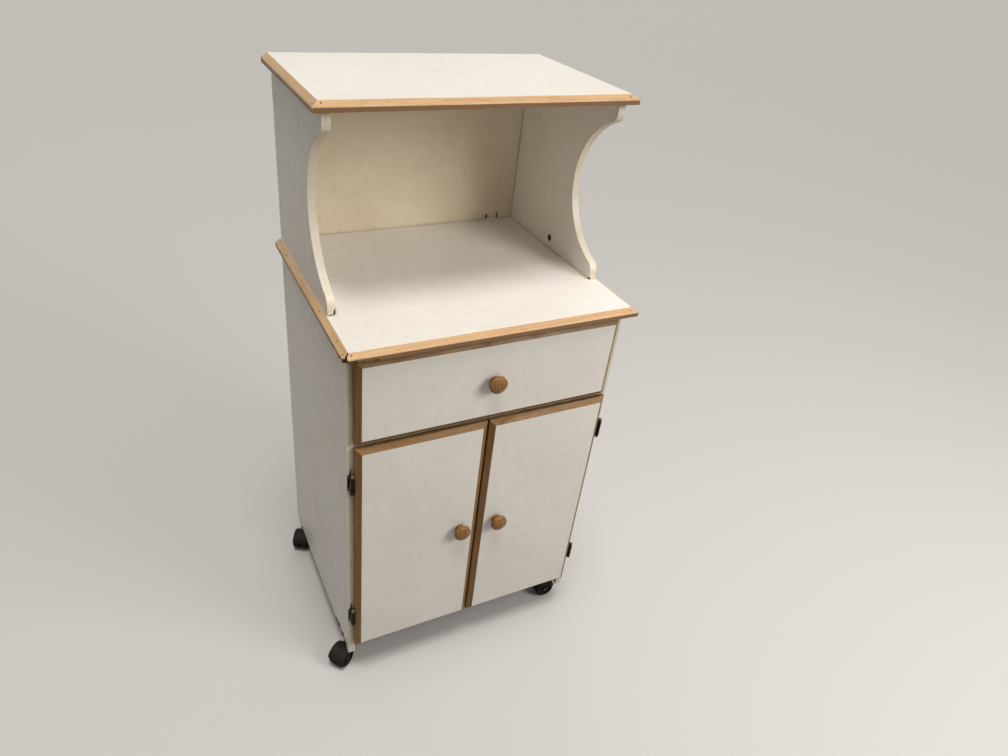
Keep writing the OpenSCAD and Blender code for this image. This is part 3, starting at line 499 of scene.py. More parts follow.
def lacquered_wood(name, light, dark, turn, gloss=0.38, shade_and_soil=0.8, stains=0.25, coat=0.1, rub_and_highlight=0.45,
                   side_shade_and_handling=0.9, figure=0.42, shine=0.5):
    """Lacquered wood: grain along the piece, painted shade with dirt in its corners, rubbed arrises that are
    lightened also as a painted highlight, and faces turned from up darkened by painted shade with some
    handling dirt.
    """
    m, nt, bsdf = new_material(name)
    at = mapped(nt, here(nt), turn=turn)
    grain = use(nt, WOOD_GRAIN, Vector=at)
    island = nt.nodes.new("ShaderNodeNewGeometry").outputs["Random Per Island"]
    # painted shade, with some dirt, in the wood's corners
    shade_and_soil_mask = use(nt, CORNER_SHADE_AND_GRIME, Reach=0.018, Patches=40.0, Amount=shade_and_soil)["Mask"]
    rubbed = use(nt, EDGE_WEAR, Width=0.0012, Patches=24.0, Amount=rub_and_highlight)["Mask"]
    blotch = cloud(nt, mapped(nt, at, (16, 60, 60)), 1.0, 5.0, 0.6, 0.7)
    streak = span(nt, grain["Streak"], 0.36, 0.66, 0.0, figure)
    color = mix(nt, streak, light, dark)
    color = mix(nt, span(nt, grain["Fibre"], 0.35, 0.75, 0.0, 0.6 * figure), color, dark)
    color = mix(nt, calc(nt, "MULTIPLY", grain["Pores"], 0.6), color, deeper(dark, 0.35))
    color = mix(nt, span(nt, blotch, 0.56, 0.74, 0.0, stains), color, deeper(dark, 0.55))
    color = mix(nt, calc(nt, "MULTIPLY", island, 0.22), color, dark)
    # faces that turn from up are darkened: painted shade, with some handling dirt
    upright = span(nt, facing_up(nt, "True Normal"), 0.35, 0.1, 0.0, side_shade_and_handling)
    color = mix(nt, upright, color, SIDE_SHADE_AND_HANDLING)
    # rubbed arrises are lightened: wear, and also a painted highlight along the folds
    bleached_and_highlit = tuple(min(1, c * 1.3 + 0.03) for c in light)
    color = mix(nt, calc(nt, "MULTIPLY", rubbed, 0.7), color, bleached_and_highlit)
    color = mix(nt, shade_and_soil_mask, color, WOOD_SHADE_AND_DIRT)
    nt.links.new(color, bsdf.inputs["Base Color"])
    rough = span(nt, blotch, 0.4, 0.75, gloss, gloss + 0.22)
    nt.links.new(calc(nt, "MULTIPLY_ADD", shade_and_soil_mask, 0.4, rough), bsdf.inputs["Roughness"])
    bsdf.inputs["Coat Weight"].default_value = coat
    bsdf.inputs["Coat Roughness"].default_value = 0.3
    bsdf.inputs["Specular IOR Level"].default_value = shine
    relief = calc(nt, "MULTIPLY_ADD", grain["Pores"], -1.0, calc(nt, "MULTIPLY", grain["Fibre"], 0.35))
    bumped(nt, bsdf, relief, 0.00014, 0.7)
    return m


def hard_fibre(name, light, dark):
    """Pressed hardboard: felted fibres with a meshy, dusty surface, and painted shade with some dirt in its
    corners.
    """
    m, nt, bsdf = new_material(name)
    at = here(nt)
    felt = cloud(nt, at, 520.0, 6.0, 0.72, 0.6)
    broad = cloud(nt, at, 9.0, 4.0, 0.6)
    mesh = wire(nt, "ShaderNodeTexVoronoi", {"Vector": at, "Scale": 900.0}).outputs["Distance"]
    # painted shade, with some dirt, in the hardboard's corners
    shade_and_soil_mask = use(nt, CORNER_SHADE_AND_GRIME, Reach=0.02, Patches=18.0, Amount=0.5)["Mask"]
    color = mix(nt, span(nt, felt, 0.3, 0.7), light, dark)
    color = mix(nt, span(nt, broad, 0.4, 0.75, 0.0, 0.5), color, dark)
    color = mix(nt, shade_and_soil_mask, color, deeper(dark, 0.4))
    nt.links.new(color, bsdf.inputs["Base Color"])
    nt.links.new(span(nt, felt, 0.3, 0.7, 0.6, 0.85), bsdf.inputs["Roughness"])
    bumped(nt, bsdf, calc(nt, "ADD", felt, mesh), 0.0002, 0.6)
    return m


def metal(name, bright, dull, roughness, wear=0.3, worn=(0.6, 0.56, 0.5), metallic=1.0, dust=0.25):
    """Plated or lacquered steel: cloudy, rubbed along its edges and dusty on top."""
    m, nt, bsdf = new_material(name)
    at = here(nt)
    haze = cloud(nt, at, 420.0, 5.0, 0.65)
    scratched = cloud(nt, mapped(nt, at, (90, 90, 1900)), 1.0, 3.0, 0.6)
    rubbed = use(nt, EDGE_WEAR, Width=0.0007, Patches=170.0, Amount=wear)["Mask"]
    dusty = use(nt, DUST, Amount=dust, Grain=700.0)["Mask"]
    color = mix(nt, span(nt, haze, 0.32, 0.7), bright, dull)
    color = mix(nt, rubbed, color, worn)
    color = mix(nt, dusty, color, METAL_DUST)
    nt.links.new(color, bsdf.inputs["Base Color"])
    nt.links.new(calc(nt, "MULTIPLY", metallic, calc(nt, "SUBTRACT", 1.0, dusty)), bsdf.inputs["Metallic"])
    rough = span(nt, haze, 0.3, 0.75, roughness, roughness + 0.2)
    nt.links.new(calc(nt, "MULTIPLY_ADD", dusty, 0.4, rough), bsdf.inputs["Roughness"])
    bumped(nt, bsdf, calc(nt, "MULTIPLY_ADD", scratched, 0.5, haze), 0.00005, 0.6)
    return m


def moulded_plastic(name, shade, roughness, dust, scuff):
    """Black moulded plastic, dusty on top, greyed where it is rubbed, and darkened in its corners by painted
    shade with some dirt.
    """
    m, nt, bsdf = new_material(name)
    at = here(nt)
    skin = cloud(nt, at, 1500.0, 3.0, 0.6)
    patch = cloud(nt, at, 70.0, 5.0, 0.65, 0.5)
    dusty = use(nt, DUST, Amount=dust, Grain=260.0)["Mask"]
    rubbed = use(nt, EDGE_WEAR, Width=0.001, Patches=120.0, Amount=scuff)["Mask"]
    # painted shade, with some dirt, in the plastic's corners
    caked_and_shaded = use(nt, CORNER_SHADE_AND_GRIME, Reach=0.008, Patches=90.0, Amount=0.7)["Mask"]
    faded = tuple(c * 1.9 + 0.002 for c in shade)
    color = mix(nt, span(nt, patch, 0.35, 0.72), shade, faded)
    color = mix(nt, rubbed, color, PLASTIC_SCUFF)
    color = mix(nt, dusty, color, PLASTIC_DUST)
    color = mix(nt, caked_and_shaded, color, PLASTIC_SHADE_AND_DIRT)
    nt.links.new(color, bsdf.inputs["Base Color"])
    rough = span(nt, patch, 0.35, 0.7, roughness, roughness + 0.15)
    nt.links.new(calc(nt, "MULTIPLY_ADD", dusty, 0.35, rough), bsdf.inputs["Roughness"])
    bsdf.inputs["Specular IOR Level"].default_value = 0.16
    bumped(nt, bsdf, calc(nt, "MULTIPLY_ADD", patch, 0.6, skin), 0.00008, 0.5)
    return m


# Finishes, each with its light and its toned or dark colour
WHITE = melamine("white_melamine", (0.81, 0.775, 0.72), (0.775, 0.73, 0.665), smudges=0.25)
DRAWER_BOARD = melamine("white_drawer_board", (0.76, 0.73, 0.67), (0.72, 0.67, 0.58),
                        wear=0.15, smudges=0.5)
ENAMEL = melamine("white_enamel", (0.80, 0.79, 0.76), (0.74, 0.72, 0.67),
                  wear=0.4, smudges=0.3, roughness=0.25)
BACKING = melamine("cream_backing", (0.765, 0.675, 0.515), (0.72, 0.62, 0.455),
                   shade_and_grime=0.8, wear=0.5, smudges=0.6, roughness=0.42)
BAND = edge_band("cream_edge_band")
# broken board, painted near-black so that it also stands for the shade in the bore and in broken edges
BROKEN_AND_SHADED = raw_chipboard_in_shade("broken_chipboard_and_shade")
HARDBOARD = hard_fibre("brown_hardboard", (0.30, 0.19, 0.105), (0.19, 0.115, 0.062))
# torn hardboard, darker than the bare fibre so that it partly paints the shade in tears and cracks
TORN_WOOD_AND_SHADE = hard_fibre("torn_wood_and_shade", (0.15, 0.085, 0.038), (0.045, 0.024, 0.012))
OAK_LIGHT, OAK_DARK = (0.66, 0.43, 0.215), (0.40, 0.22, 0.095)
BROWN_LIGHT, BROWN_DARK = (0.33, 0.185, 0.064), (0.15, 0.072, 0.022)
# the brown trims get less of the painted shade on faces that turn from up
WORN_BROWN = {"side_shade_and_handling": 0.2, "stains": 0.5, "figure": 0.6, "coat": 0.03, "shine": 0.25}
ALONG_X, ALONG_Y, ALONG_Z = (0, 0, 0), (0, 0, math.pi / 2), (0, math.pi / 2, 0)
OAK_X = lacquered_wood("oak_along_width", OAK_LIGHT, OAK_DARK, ALONG_X)
OAK_Y = lacquered_wood("oak_along_depth", OAK_LIGHT, OAK_DARK, ALONG_Y)
OAK_Z = lacquered_wood("oak_along_height", OAK_LIGHT, OAK_DARK, ALONG_Z)
BROWN_X = lacquered_wood("brown_oak_along_width", BROWN_LIGHT, BROWN_DARK, ALONG_X, **WORN_BROWN)
BROWN_Y = lacquered_wood("brown_oak_along_depth", BROWN_LIGHT, BROWN_DARK, ALONG_Y, **WORN_BROWN)
BROWN_Z = lacquered_wood("brown_oak_along_height", BROWN_LIGHT, BROWN_DARK, ALONG_Z, **WORN_BROWN)
KNOB = lacquered_wood("honey_knob", (0.31, 0.145, 0.034), (0.14, 0.056, 0.012), ALONG_Z, gloss=0.34,
                      shade_and_soil=0.5, coat=0.2, rub_and_highlight=0.2, side_shade_and_handling=0.0, figure=0.8, shine=0.3)
DOWEL = lacquered_wood("bare_beech", (0.62, 0.47, 0.30), (0.48, 0.34, 0.20), ALONG_Z, gloss=0.55, coat=0.0)
BRONZE = metal("dark_bronze", (0.020, 0.010, 0.0065), (0.010, 0.005, 0.0035), 0.42, wear=0.2,
               worn=(0.16, 0.11, 0.08), metallic=0.9, dust=0.03)
BRONZE_WORN = metal("rubbed_bronze", (0.20, 0.155, 0.115), (0.030, 0.018, 0.012), 0.3, wear=0.6,
                    worn=(0.55, 0.46, 0.38), metallic=0.8, dust=0.05)
ZINC = metal("zinc_plate", (0.66, 0.65, 0.63), (0.48, 0.47, 0.45), 0.28)
NICKEL = metal("nickel_plate", (0.72, 0.70, 0.66), (0.5, 0.48, 0.44), 0.2, wear=0.2)
HOOD = moulded_plastic("black_hood_plastic", (0.0055, 0.0048, 0.0042), 0.55, dust=0.1, scuff=0.25)
TREAD = moulded_plastic("black_wheel_plastic", (0.005, 0.0043, 0.004), 0.6, dust=0.08, scuff=0.4)
FINISH = {
    "white_melamine": WHITE, "hutch_backing": BACKING, "hardboard": HARDBOARD, "oak_moulding": OAK_X,
    "knob_wood": KNOB, "drawer_board": DRAWER_BOARD, "runner_enamel": ENAMEL, "hinge_bronze": BRONZE,
    "hinge_screw_bronze": BRONZE_WORN, "zinc_steel": ZINC, "dowel_wood": DOWEL, "caster_steel": NICKEL,
    "caster_hood_plastic": HOOD, "caster_wheel_plastic": TREAD,
}
for node, part in NODES.items():
    paint(part, FINISH[SLOTS[node]])


# Boards with eased edges

def finish_board(node, width=0.5, bands=None, cuts=(), profiled=False):
    """A board with eased edges. Faces whose normal passes bands get the edge band, and cuts break it open."""
    piece = merged_copy(node, node + "_finished")
    if profiled:
        ease_rim(piece, width)
    else:
        ease(piece, width, shortest=6)
    paint(piece, FINISH[SLOTS[node]], BAND, BROKEN_AND_SHADED)
    if bands:
        for f in piece.data.polygons:
            if bands(f.normal):
                f.material_index = 1
    for cutter in cuts:
        break_open(piece, cutter)
    shade_flat_fields(piece)
    stand_for(piece, node)


def shade_flat_fields(piece):
    """Rounds the shading over the eased edges alone, and leaves the broad faces flat."""
    smooth(piece, 50)
    flatten_shading(piece)


def rough_chunk(place, size, seed, subdivisions=4, depth=0.32):
    """A jagged lump of a size, in mm, that a boolean takes out of a board."""
    select_none()
    bpy.ops.mesh.primitive_ico_sphere_add(subdivisions=subdivisions, radius=1, location=(0, 0, 0))
    lump = bpy.context.object
    for v in lump.data.vertices:
        d = v.co.normalized()
        lift = field.noise(d * 2.3 + Vector((seed, 0, 0))) + 0.6 * field.noise(d * 6.5 + Vector((0, seed, 0)))
        v.co = d * (1 + depth * lift)
    lump.scale = [s * MM for s in size]
    lump.location = place
    settle(lump)
    lump.data.materials.append(BROKEN_AND_SHADED)
    return lump


def break_open(piece, cutter):
    """Takes a cutter out of a piece: the broken faces keep the cutter's material."""
    cutter.data.materials.clear()
    for m in piece.data.materials:
        cutter.data.materials.append(m)
    for f in cutter.data.polygons:
        f.material_index = len(piece.data.materials) - 1
    m = piece.modifiers.new("break", "BOOLEAN")
    m.object = cutter
    m.operation = "DIFFERENCE"
    m.solver = "EXACT"
    apply_modifiers(piece)
    bpy.data.objects.remove(cutter)
    merge_close(piece)


def merge_close(piece, closest=0.02):
    """Merges points closer than closest, in mm: edges without a length would spoil the shading."""
    edit(piece)
    bpy.ops.mesh.select_all(action="SELECT")
    bpy.ops.mesh.remove_doubles(threshold=closest * MM)
    bpy.ops.mesh.dissolve_degenerate(threshold=closest * MM)
    return done(piece)


LEFT_LO, LEFT_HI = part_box("side_panel_left")
RIGHT_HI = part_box("side_panel_right")[1]
FRONT_Y = LEFT_LO.y
REAR_Y = LEFT_HI.y


def edges_only(n):
    return abs(n.x) < 0.5


def front_edge(n):
    return n.y < -0.5


def lower_edge_chip(y, size, seed):
    """A lump that breaks foil and board away along the left panel's lower outer edge."""
    return rough_chunk((LEFT_LO.x - 1 * MM, y, LEFT_LO.z), size, seed)


def lower_edge_wear():
    """The left panel's lower edge: chipped at the rear, broken out near the front, frayed in between."""
    at_rear = [(6, (3.2, 16, 20), 3.1), (34, (2.8, 20, 13), 5.7)]
    at_front = [(90, (3.0, 13, 17), 1.3), (68, (3.4, 18, 22), 8.2), (42, (3.4, 18, 24), 9.4),
                (22, (2.8, 12, 15), 4.6)]
    chips = [lower_edge_chip(REAR_Y - inset * MM, size, seed) for inset, size, seed in at_rear]
    chips += [lower_edge_chip(FRONT_Y + inset * MM, size, seed) for inset, size, seed in at_front]
    first, step, size = 75, 42, (1.9, 30, 8)
    chips += [lower_edge_chip(REAR_Y - (first + step * i) * MM, size, 11.3 + 1.7 * i) for i in range(8)]
    return chips


finish_board("side_panel_left", bands=front_edge, cuts=lower_edge_wear())
finish_board("side_panel_right", bands=front_edge)
for node in ("floor_panel", "drawer_rail", "top_rails", "inner_shelf"):
    finish_board(node, bands=front_edge)
for node in ("worktop_board", "top_board"):
    finish_board(node, 0.4)


# Hutch sides: both are knocked at the foot, and the right one has the bore of a 15 mm fitting inside
BORE_R, BORE_DEPTH = 7.5, 12.0
BORE_INSET, BORE_RISE = 187, 22.5


# The bore's walls take the broken board's near-black, which paints the shade inside the bore.
def fitting_bore(side_lo):
    select_none()
    bpy.ops.mesh.primitive_cylinder_add(
        vertices=64, radius=BORE_R * MM, depth=2 * BORE_DEPTH * MM, rotation=(0, math.pi / 2, 0),
        location=(side_lo.x, REAR_Y - BORE_INSET * MM, side_lo.z + BORE_RISE * MM))
    return settle(bpy.context.object)


foot_lo, foot_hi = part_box("hutch_side_left")
finish_board("hutch_side_left", bands=edges_only, profiled=True, cuts=[
    rough_chunk((foot_hi.x, foot_lo.y, foot_lo.z + 5 * MM), (5, 4, 8), 2.2),
    rough_chunk((foot_hi.x - 6 * MM, foot_lo.y, foot_lo.z), (11, 2.5, 2.2), 4.2),
])
foot_lo, foot_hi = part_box("hutch_side_right")
finish_board("hutch_side_right", bands=edges_only, profiled=True, cuts=[
    rough_chunk((foot_lo.x, foot_lo.y, foot_lo.z + 1 * MM), (4, 4, 4), 7.5),
    fitting_bore(foot_lo),
])
for node in ("drawer_front", "door_left_panel", "door_right_panel"):
    finish_board(node, 0.3)
for node in ("drawer_side_left", "drawer_side_right", "drawer_box_front", "drawer_box_back"):
    finish_board(node, 0.4)


# The hutch back, torn beside its cord notch, and the tab that was cut for the notch and still hangs in it

NOTCH_W, NOTCH_H = 29, 15


def tear(piece, notch_x, face_y, foot_z, tears):
    """Breaks lumps out of a face: each is given by its place from the notch's foot, its size and its seed."""
    for dx, dz, size, seed in tears:
        break_open(piece, rough_chunk((notch_x + dx * MM, face_y, foot_z + dz * MM), size, seed, 3, 0.4))
    shade_flat_fields(piece)


def torn_notch():
    back_lo, back_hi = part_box("hutch_back")
    notch_x = frame_opening("cord_notch")
    piece = merged_copy("hutch_back", "hutch_back_finished")
    paint(piece, BACKING, TORN_WOOD_AND_SHADE)
    tear(piece, notch_x, back_lo.y, back_lo.z, (
        (-14.5, 9, (2.4, 1.8, 5.5), 1.9), (-15.5, 5, (3.0, 1.6, 2.5), 3.3),
        (14.5, 9, (2.2, 1.8, 6.5), 4.4), (14, 2, (2.0, 1.6, 3.5), 5.2)))
    jammed_tab(notch_x, back_lo, back_hi)
    stand_for(piece, "hutch_back")


def jammed_tab(notch_x, back_lo, back_hi):
    """The tab, with its sides and foot broken to a dark brown that partly paints the shade in the slits
    beside it. It sits a little behind the back's face.
    """
    width, height, thick = NOTCH_W - 0.1, NOTCH_H - 1, (back_hi.y - back_lo.y) / MM - 0.4
    face_y = back_lo.y + 0.3 * MM
    select_none()
    bpy.ops.mesh.primitive_cube_add(size=1)
    tab = bpy.context.object
    tab.name = "hutch_back_notch_tab"
    tab.scale = (width * MM, thick * MM, height * MM)
    tab.location = (notch_x, face_y + thick / 2 * MM, back_lo.z + (NOTCH_H - height / 2) * MM)
    settle(tab)
    ease(tab, 0.15, shortest=1)
    paint(tab, BACKING, TORN_WOOD_AND_SHADE)
    tear(tab, notch_x, face_y, back_lo.z, (
        (-14.0, 8.5, (2.6, 1.9, 5.5), 6.1), (-14.3, 4.0, (2.0, 1.8, 3.5), 2.4),
        (14.0, 8.5, (2.4, 1.9, 6.0), 8.8), (13.8, 2.5, (2.6, 1.8, 3.0), 3.7),
        (-6.0, 1.0, (7.5, 1.2, 1.6), 5.9), (6.0, 0.9, (7.0, 1.2, 1.4), 1.2)))
    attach(tab, BODY_OF["hutch_back"])


def frame_opening(name):
    """The middle, across the cabinet, of an opening that the record names."""
    for opening in frame["record"]["physics"]["openings"]:
        if opening["name"] == name:
            (x0, _, _), (x1, _, _) = opening["box_m"]
            return (x0 + x1) / 2
    raise KeyError(name)


torn_notch()


# Oak mouldings: the grain of each strip runs along it, and small nails hold it

def strip_ways(piece):
    """Gives each strip of a moulding the material whose grain runs along it."""
    bm = bmesh.new()
    bm.from_mesh(piece.data)
    bm.faces.ensure_lookup_table()
    for group in islands(bm):
        extent = [max(v.co[i] for v in group) - min(v.co[i] for v in group) for i in range(3)]
        way = extent.index(max(extent))
        for f in {f for v in group for f in v.link_faces}:
            f.material_index = way
    bm.to_mesh(piece.data)
    bm.free()


def nail_dents(piece, places, radius=1.6):
    """Dents that small nails left, given by their middles."""
    lumps = []
    for place in places:
        select_none()
        bpy.ops.mesh.primitive_uv_sphere_add(segments=12, ring_count=8, radius=radius * MM, location=place)
        lumps.append(settle(bpy.context.object))
    select_none()
    for lump in lumps:
        lump.select_set(True)
    bpy.context.view_layer.objects.active = lumps[0]
    bpy.ops.object.join()
    break_open(piece, bpy.context.object)


def finish_trim(node, woods, dents=(), cuts=()):
    piece = merged_copy(node, node + "_finished")
    ease(piece, 0.3, shortest=4)
    paint(piece, *woods, TORN_WOOD_AND_SHADE)
    strip_ways(piece)
    if dents:
        nail_dents(piece, dents)
    for cutter in cuts:
        break_open(piece, cutter)
    shade_flat_fields(piece)
    stand_for(piece, node)


BEVEL_DROP = 8


def on_bevel(node, side, along, across):
    """A place on a moulding's bevel: along is a share of its length, across of its width from the board."""
    lo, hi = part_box(node)
    z = hi.z - BEVEL_DROP * MM * across
    if side == "front":
        return Vector((lo.x + (hi.x - lo.x) * along, hi.y - (hi.y - lo.y) * across, z))
    x = hi.x - (hi.x - lo.x) * across if side == "left" else lo.x + (hi.x - lo.x) * across
    return Vector((x, lo.y + (hi.y - lo.y) * along, z))


def mitre_crack(corner, spread, reach):
    """A wedge that opens a mitre from the board's corner outwards, in mm."""
    select_none()
    bpy.ops.mesh.primitive_cube_add(size=1, location=(0.5, 0, 0))
    wedge = bpy.context.object
    for v in wedge.data.vertices:
        v.co.y *= 0.25 if v.co.x < 0.5 else 1.0
    wedge.scale = (reach * MM, spread * MM, 60 * MM)
    wedge.rotation_euler = (0, 0, math.radians(-132))
    wedge.location = corner
    settle(wedge)
    # The crack's faces take the torn wood's near-black, which partly paints the shade inside the crack.
    wedge.data.materials.append(TORN_WOOD_AND_SHADE)
    return wedge


def corner_damage():
    """What broke the front left corner of the worktop's moulding open: a wedge and jagged lumps."""
    lo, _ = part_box("worktop_trim_left")
    front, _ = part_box("worktop_trim_front")
    inner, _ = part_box("worktop_board")
    edge = Vector((lo.x, front.y, lo.z))
    lumps = (
        ((2, 2, 3), (8, 8, 10), 2.7),
        ((18, -0.8, 1), (10, 3.2, 6), 4.1),
        ((36, -0.8, 0), (10, 3.0, 4.5), 6.6),
        ((58, -0.8, 0), (9, 2.6, 3.6), 5.6),
        ((-0.8, 18, 1), (3.0, 10, 6), 8.3),
        ((-0.8, 50, 0), (2.6, 12, 4), 1.4),
    )
    cutters = [mitre_crack(Vector((inner.x, inner.y, edge.z)), 3.6, 26)]
    for place, size, seed in lumps:
        offset = Vector([mm * MM for mm in place])
        cutters.append(rough_chunk(edge + offset, size, seed))
    return cutters


# Where small nails dented the bevels: shares of a moulding's length and of its width
FRONT_NAILS = ((0.026, 0.42), (0.2, 0.5), (0.36, 0.45), (0.52, 0.52), (0.69, 0.5), (0.86, 0.48), (0.97, 0.5))
SIDE_NAILS = ((0.035, 0.68), (0.12, 0.45), (0.34, 0.5), (0.6, 0.5), (0.84, 0.5))
NAILS = {"front": FRONT_NAILS, "left": SIDE_NAILS, "right": SIDE_NAILS}
DAMAGED = ("worktop_trim_front", "worktop_trim_left")
for board in ("worktop", "top"):
    for side, nails in NAILS.items():
        node = "%s_trim_%s" % (board, side)
        dents = [on_bevel(node, side, along, across) for along, across in nails]
        finish_trim(node, (OAK_X, OAK_Y, OAK_Z), dents, corner_damage() if node in DAMAGED else ())
for node in ("drawer_trim", "door_left_trim", "door_right_trim"):
    finish_trim(node, (BROWN_X, BROWN_Y, BROWN_Z))


# Turned and moulded pieces keep their CAD shape, with smooth shading

def is_turned_or_moulded(node):
    return (node.startswith("caster_") or node.endswith("knob") or "hinge_leaves" in node
            or node in ("hinge_frame_leaves", "hinge_pins"))


for node in filter(is_turned_or_moulded, NODES):
    piece = merged_copy(node, node + "_finished")
    smooth(piece)
    stand_for(piece, node)
    paint(piece, BRONZE_WORN if node == "hinge_pins" else FINISH[SLOTS[node]])


# Screws: a domed head with a cross recess, modelled once and copied

def cross_screw(name, radius, thickness, shank_r, shank_len):
    """A screw that faces -Y, with its head's underside at the origin."""
    select_none()
    bpy.ops.mesh.primitive_cylinder_add(vertices=32, radius=radius * MM, depth=thickness * MM,
                                        location=(0, -thickness * MM / 2, 0), rotation=(math.pi / 2, 0, 0))
    head = settle(bpy.context.object)
    head.name = name
    edit(head)
    select_edges(head, lambda e: all(v.co.y < -0.9 * thickness * MM for v in e.verts))
    bpy.ops.mesh.bevel(offset=thickness * 0.55 * MM, segments=4, affect="EDGES")
    select_faces(head, lambda f: f.normal.y > 0.9)
    bpy.ops.mesh.inset(thickness=(radius - shank_r) * MM)
    bpy.ops.mesh.extrude_region_move(TRANSFORM_OT_translate={"value": (0, shank_len * MM, 0)})
    done(head)
    for turn in (0, math.pi / 2):
        select_none()
        bpy.ops.mesh.primitive_cube_add(size=1, location=(0, -thickness * MM, 0), rotation=(0, turn, 0))
        slot = bpy.context.object
        slot.scale = (radius * 1.1 * MM, thickness * 1.1 * MM, radius * 0.26 * MM)
        settle(slot)
        m = head.modifiers.new("recess", "BOOLEAN")
        m.object = slot
        m.solver = "EXACT"
        apply_modifiers(head)
        bpy.data.objects.remove(slot)
    return head


def copy_to(master, places, name, turns):
    """Copies of a piece at places, joined into one mesh."""
    copies = []
    for place, turn in zip(places, turns):
        copy = master.copy()
        copy.data = master.data.copy()
        bpy.context.scene.collection.objects.link(copy)
        copy.rotation_euler = (0, turn, 0)
        copy.location = place
        copies.append(settle(copy))
    select_none()
    for copy in copies:
        copy.select_set(True)
    bpy.context.view_layer.objects.active = copies[0]
    bpy.ops.object.join()
    joined = bpy.context.object
    joined.name = name
    bpy.data.objects.remove(master)
    return joined


def finish_hinge_screws():
    boxes = island_boxes("hinge_screws")
    lo, hi = boxes[0]
    head_r, head_t, shank_r = (hi.x - lo.x) / 2 / MM, 1.0, 1.5
    master = cross_screw("hinge_screw", head_r, head_t, shank_r, (hi.y - lo.y) / MM - head_t)
    places = [((a.x + b.x) / 2, a.y + head_t * MM, (a.z + b.z) / 2) for a, b in boxes]
    turns = [0.3 + 1.7 * i for i in range(len(boxes))]
    screws = copy_to(master, places, "hinge_screws_finished", turns)
    paint(screws, BRONZE_WORN)
    smooth(screws, 30)
    stand_for(screws, "hinge_screws")


finish_hinge_screws()


# Small nails along the edges of the hardboard back

def back_nails():
    """Eight nails up each side of the back, and four along its head and its foot."""
    lo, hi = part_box("cabinet_back")
    inset, end_gap = 6 * MM, 20 * MM
    head_r, head_t = 2.4, 0.8
    places = []
    for x in (lo.x + inset, hi.x - inset):
        places += [(x, lo.z + end_gap + (hi.z - lo.z - 2 * end_gap) * i / 7) for i in range(8)]
    for z in (hi.z - inset, lo.z + inset):
        places += [(lo.x + (hi.x - lo.x) * i / 5, z) for i in range(1, 5)]
    select_none()
    bpy.ops.mesh.primitive_cylinder_add(vertices=20, radius=head_r * MM, depth=head_t * MM,
                                        rotation=(math.pi / 2, 0, 0))
    nail = settle(bpy.context.object)
    edit(nail)
    select_edges(nail, lambda e: all(v.co.y > 0.3 * MM for v in e.verts))
    bpy.ops.mesh.bevel(offset=0.35 * MM, segments=3, affect="EDGES")
    done(nail)
    nails = copy_to(nail, [(x, hi.y + 0.1 * MM, z) for x, z in places], "back_nails", [0.0] * len(places))
    paint(nails, ZINC)
    smooth(nails, 30)
    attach(nails, BODY_OF["cabinet_back"])


back_nails()


# Camera: the photograph's viewing place, angle and framing

PHOTO_W, PHOTO_H = 1008, 756
FOCAL_PX = 723.974
CENTRE_PX = (470.0, 378.0)
EYE_LEFT, EYE_AHEAD, EYE_HEIGHT = 0.5989, 1.4893, 1.5647
TURN, DROP, ROLL = math.radians(28.5255), math.radians(33.7774), math.radians(6.0454)


def make_camera():
    """The eye is placed from the cabinet's middle and rear, and its axes from its turn, drop and roll."""
    place = Vector(((LEFT_LO.x + RIGHT_HI.x) / 2 - EYE_LEFT, REAR_Y - EYE_AHEAD, EYE_HEIGHT))
    look = Vector((math.sin(TURN) * math.cos(DROP), math.cos(TURN) * math.cos(DROP), -math.sin(DROP)))
    level = Vector((math.cos(TURN), -math.sin(TURN), 0))
    over = level.cross(look)
    right = level * math.cos(ROLL) + over * math.sin(ROLL)
    up = over * math.cos(ROLL) - level * math.sin(ROLL)
    data = bpy.data.cameras.new("photo_camera")
    data.sensor_width = 36
    data.lens = FOCAL_PX / PHOTO_W * data.sensor_width
    data.shift_x = (PHOTO_W / 2 - CENTRE_PX[0]) / PHOTO_W
    data.shift_y = (CENTRE_PX[1] - PHOTO_H / 2) / PHOTO_W
    data.clip_start = 0.05
    data.clip_end = 200
    camera = bpy.data.objects.new("photo_camera", data)
    bpy.context.scene.collection.objects.link(camera)
    turned = Matrix((right, up, -look)).transposed()
    camera.matrix_world = Matrix.Translation(place) @ turned.to_4x4()
    bpy.context.scene.camera = camera


make_camera()


# Floor and light

def seen_directly(nt):
    """One for what the camera, a mirror or a glass shows, and nought for light that bounces."""
    path = nt.nodes.new("ShaderNodeLightPath").outputs
    total = calc(nt, "ADD", path["Is Camera Ray"], path["Is Glossy Ray"])
    return calc(nt, "MINIMUM", calc(nt, "ADD", total, path["Is Transmission Ray"]), 1.0)


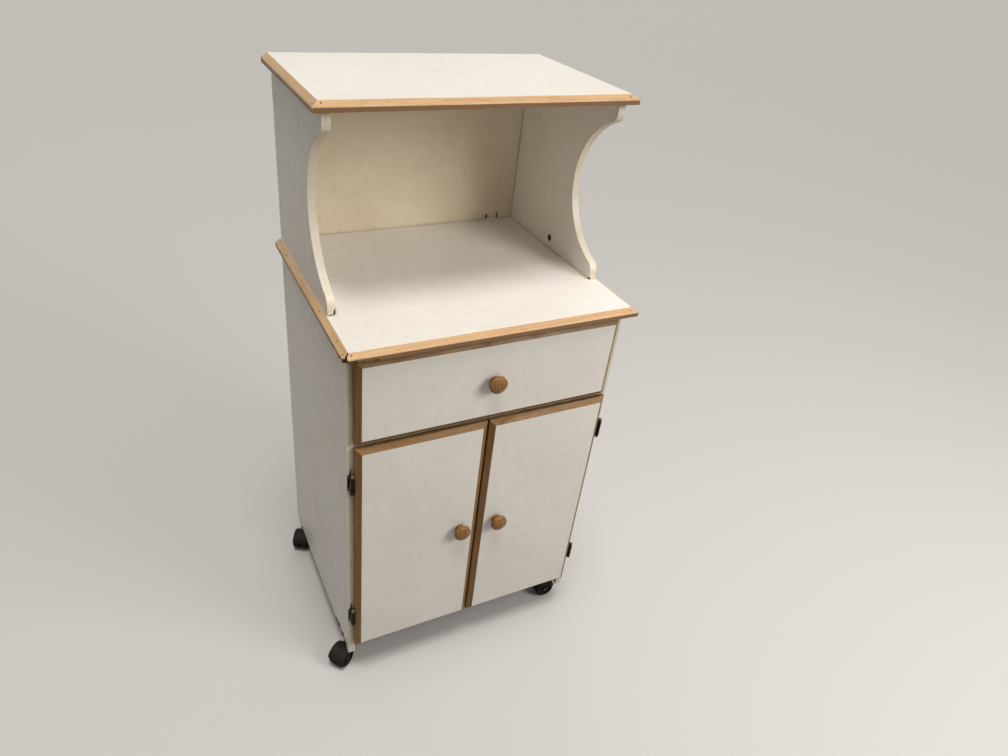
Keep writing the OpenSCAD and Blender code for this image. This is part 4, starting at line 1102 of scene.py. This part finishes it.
# What bounced light meets stays dull, and what the camera sees is pale
FLOOR_BOUNCED, FLOOR_SEEN = (0.10, 0.092, 0.08), (0.50, 0.49, 0.475)
SKY_BOUNCED, SKY_SEEN = 0.31, 0.60
SKY_COLOR = (1.0, 0.945, 0.87, 1)
LAMP_COLOR = (1.0, 0.985, 0.955)


def make_floor():
    select_none()
    bpy.ops.mesh.primitive_plane_add(size=120, location=(0, 0, 0))
    floor = bpy.context.object
    floor.name = "studio_floor"
    m, nt, bsdf = new_material("studio_floor_paint")
    nt.links.new(mix(nt, seen_directly(nt), FLOOR_BOUNCED, FLOOR_SEEN), bsdf.inputs["Base Color"])
    bsdf.inputs["Roughness"].default_value = 0.9
    bsdf.inputs["Specular IOR Level"].default_value = 0.2
    paint(floor, m)


def make_light():
    world = bpy.data.worlds.new("studio")
    bpy.context.scene.world = world
    world.use_nodes = True
    nt = world.node_tree
    sky = nt.nodes["Background"]
    sky.inputs["Color"].default_value = SKY_COLOR
    strength = span(nt, seen_directly(nt), 0.0, 1.0, SKY_BOUNCED, SKY_SEEN)
    nt.links.new(strength, sky.inputs["Strength"])
    add_lamp("ceiling_panel", "SUN", 2.05, (-0.25, -0.45, 3.0), (0, 0, 0), angle=math.radians(22))
    add_lamp("front_softbox", "AREA", 56, (1.65, -2.1, 2.3), (0, -0.1, 0.7), size=1.4)
    rear = add_lamp("rear_wall_glow", "SUN", 0.95, (0.6, 3.0, 0.7), (0, 0, 0), angle=math.radians(70))
    rear.visible_glossy = False


def add_lamp(name, kind, energy, place, aim, **extent):
    """A soft lamp that the camera doesn't see."""
    data = bpy.data.lights.new(name, kind)
    data.energy = energy
    data.color = LAMP_COLOR
    for key, value in extent.items():
        setattr(data, key, value)
    lamp = bpy.data.objects.new(name, data)
    bpy.context.scene.collection.objects.link(lamp)
    lamp.visible_camera = False
    lamp.location = place
    lamp.rotation_euler = (Vector(aim) - Vector(place)).to_track_quat("-Z", "Y").to_euler()
    return lamp


make_floor()
make_light()
bpy.context.scene.view_settings.view_transform = "Standard"
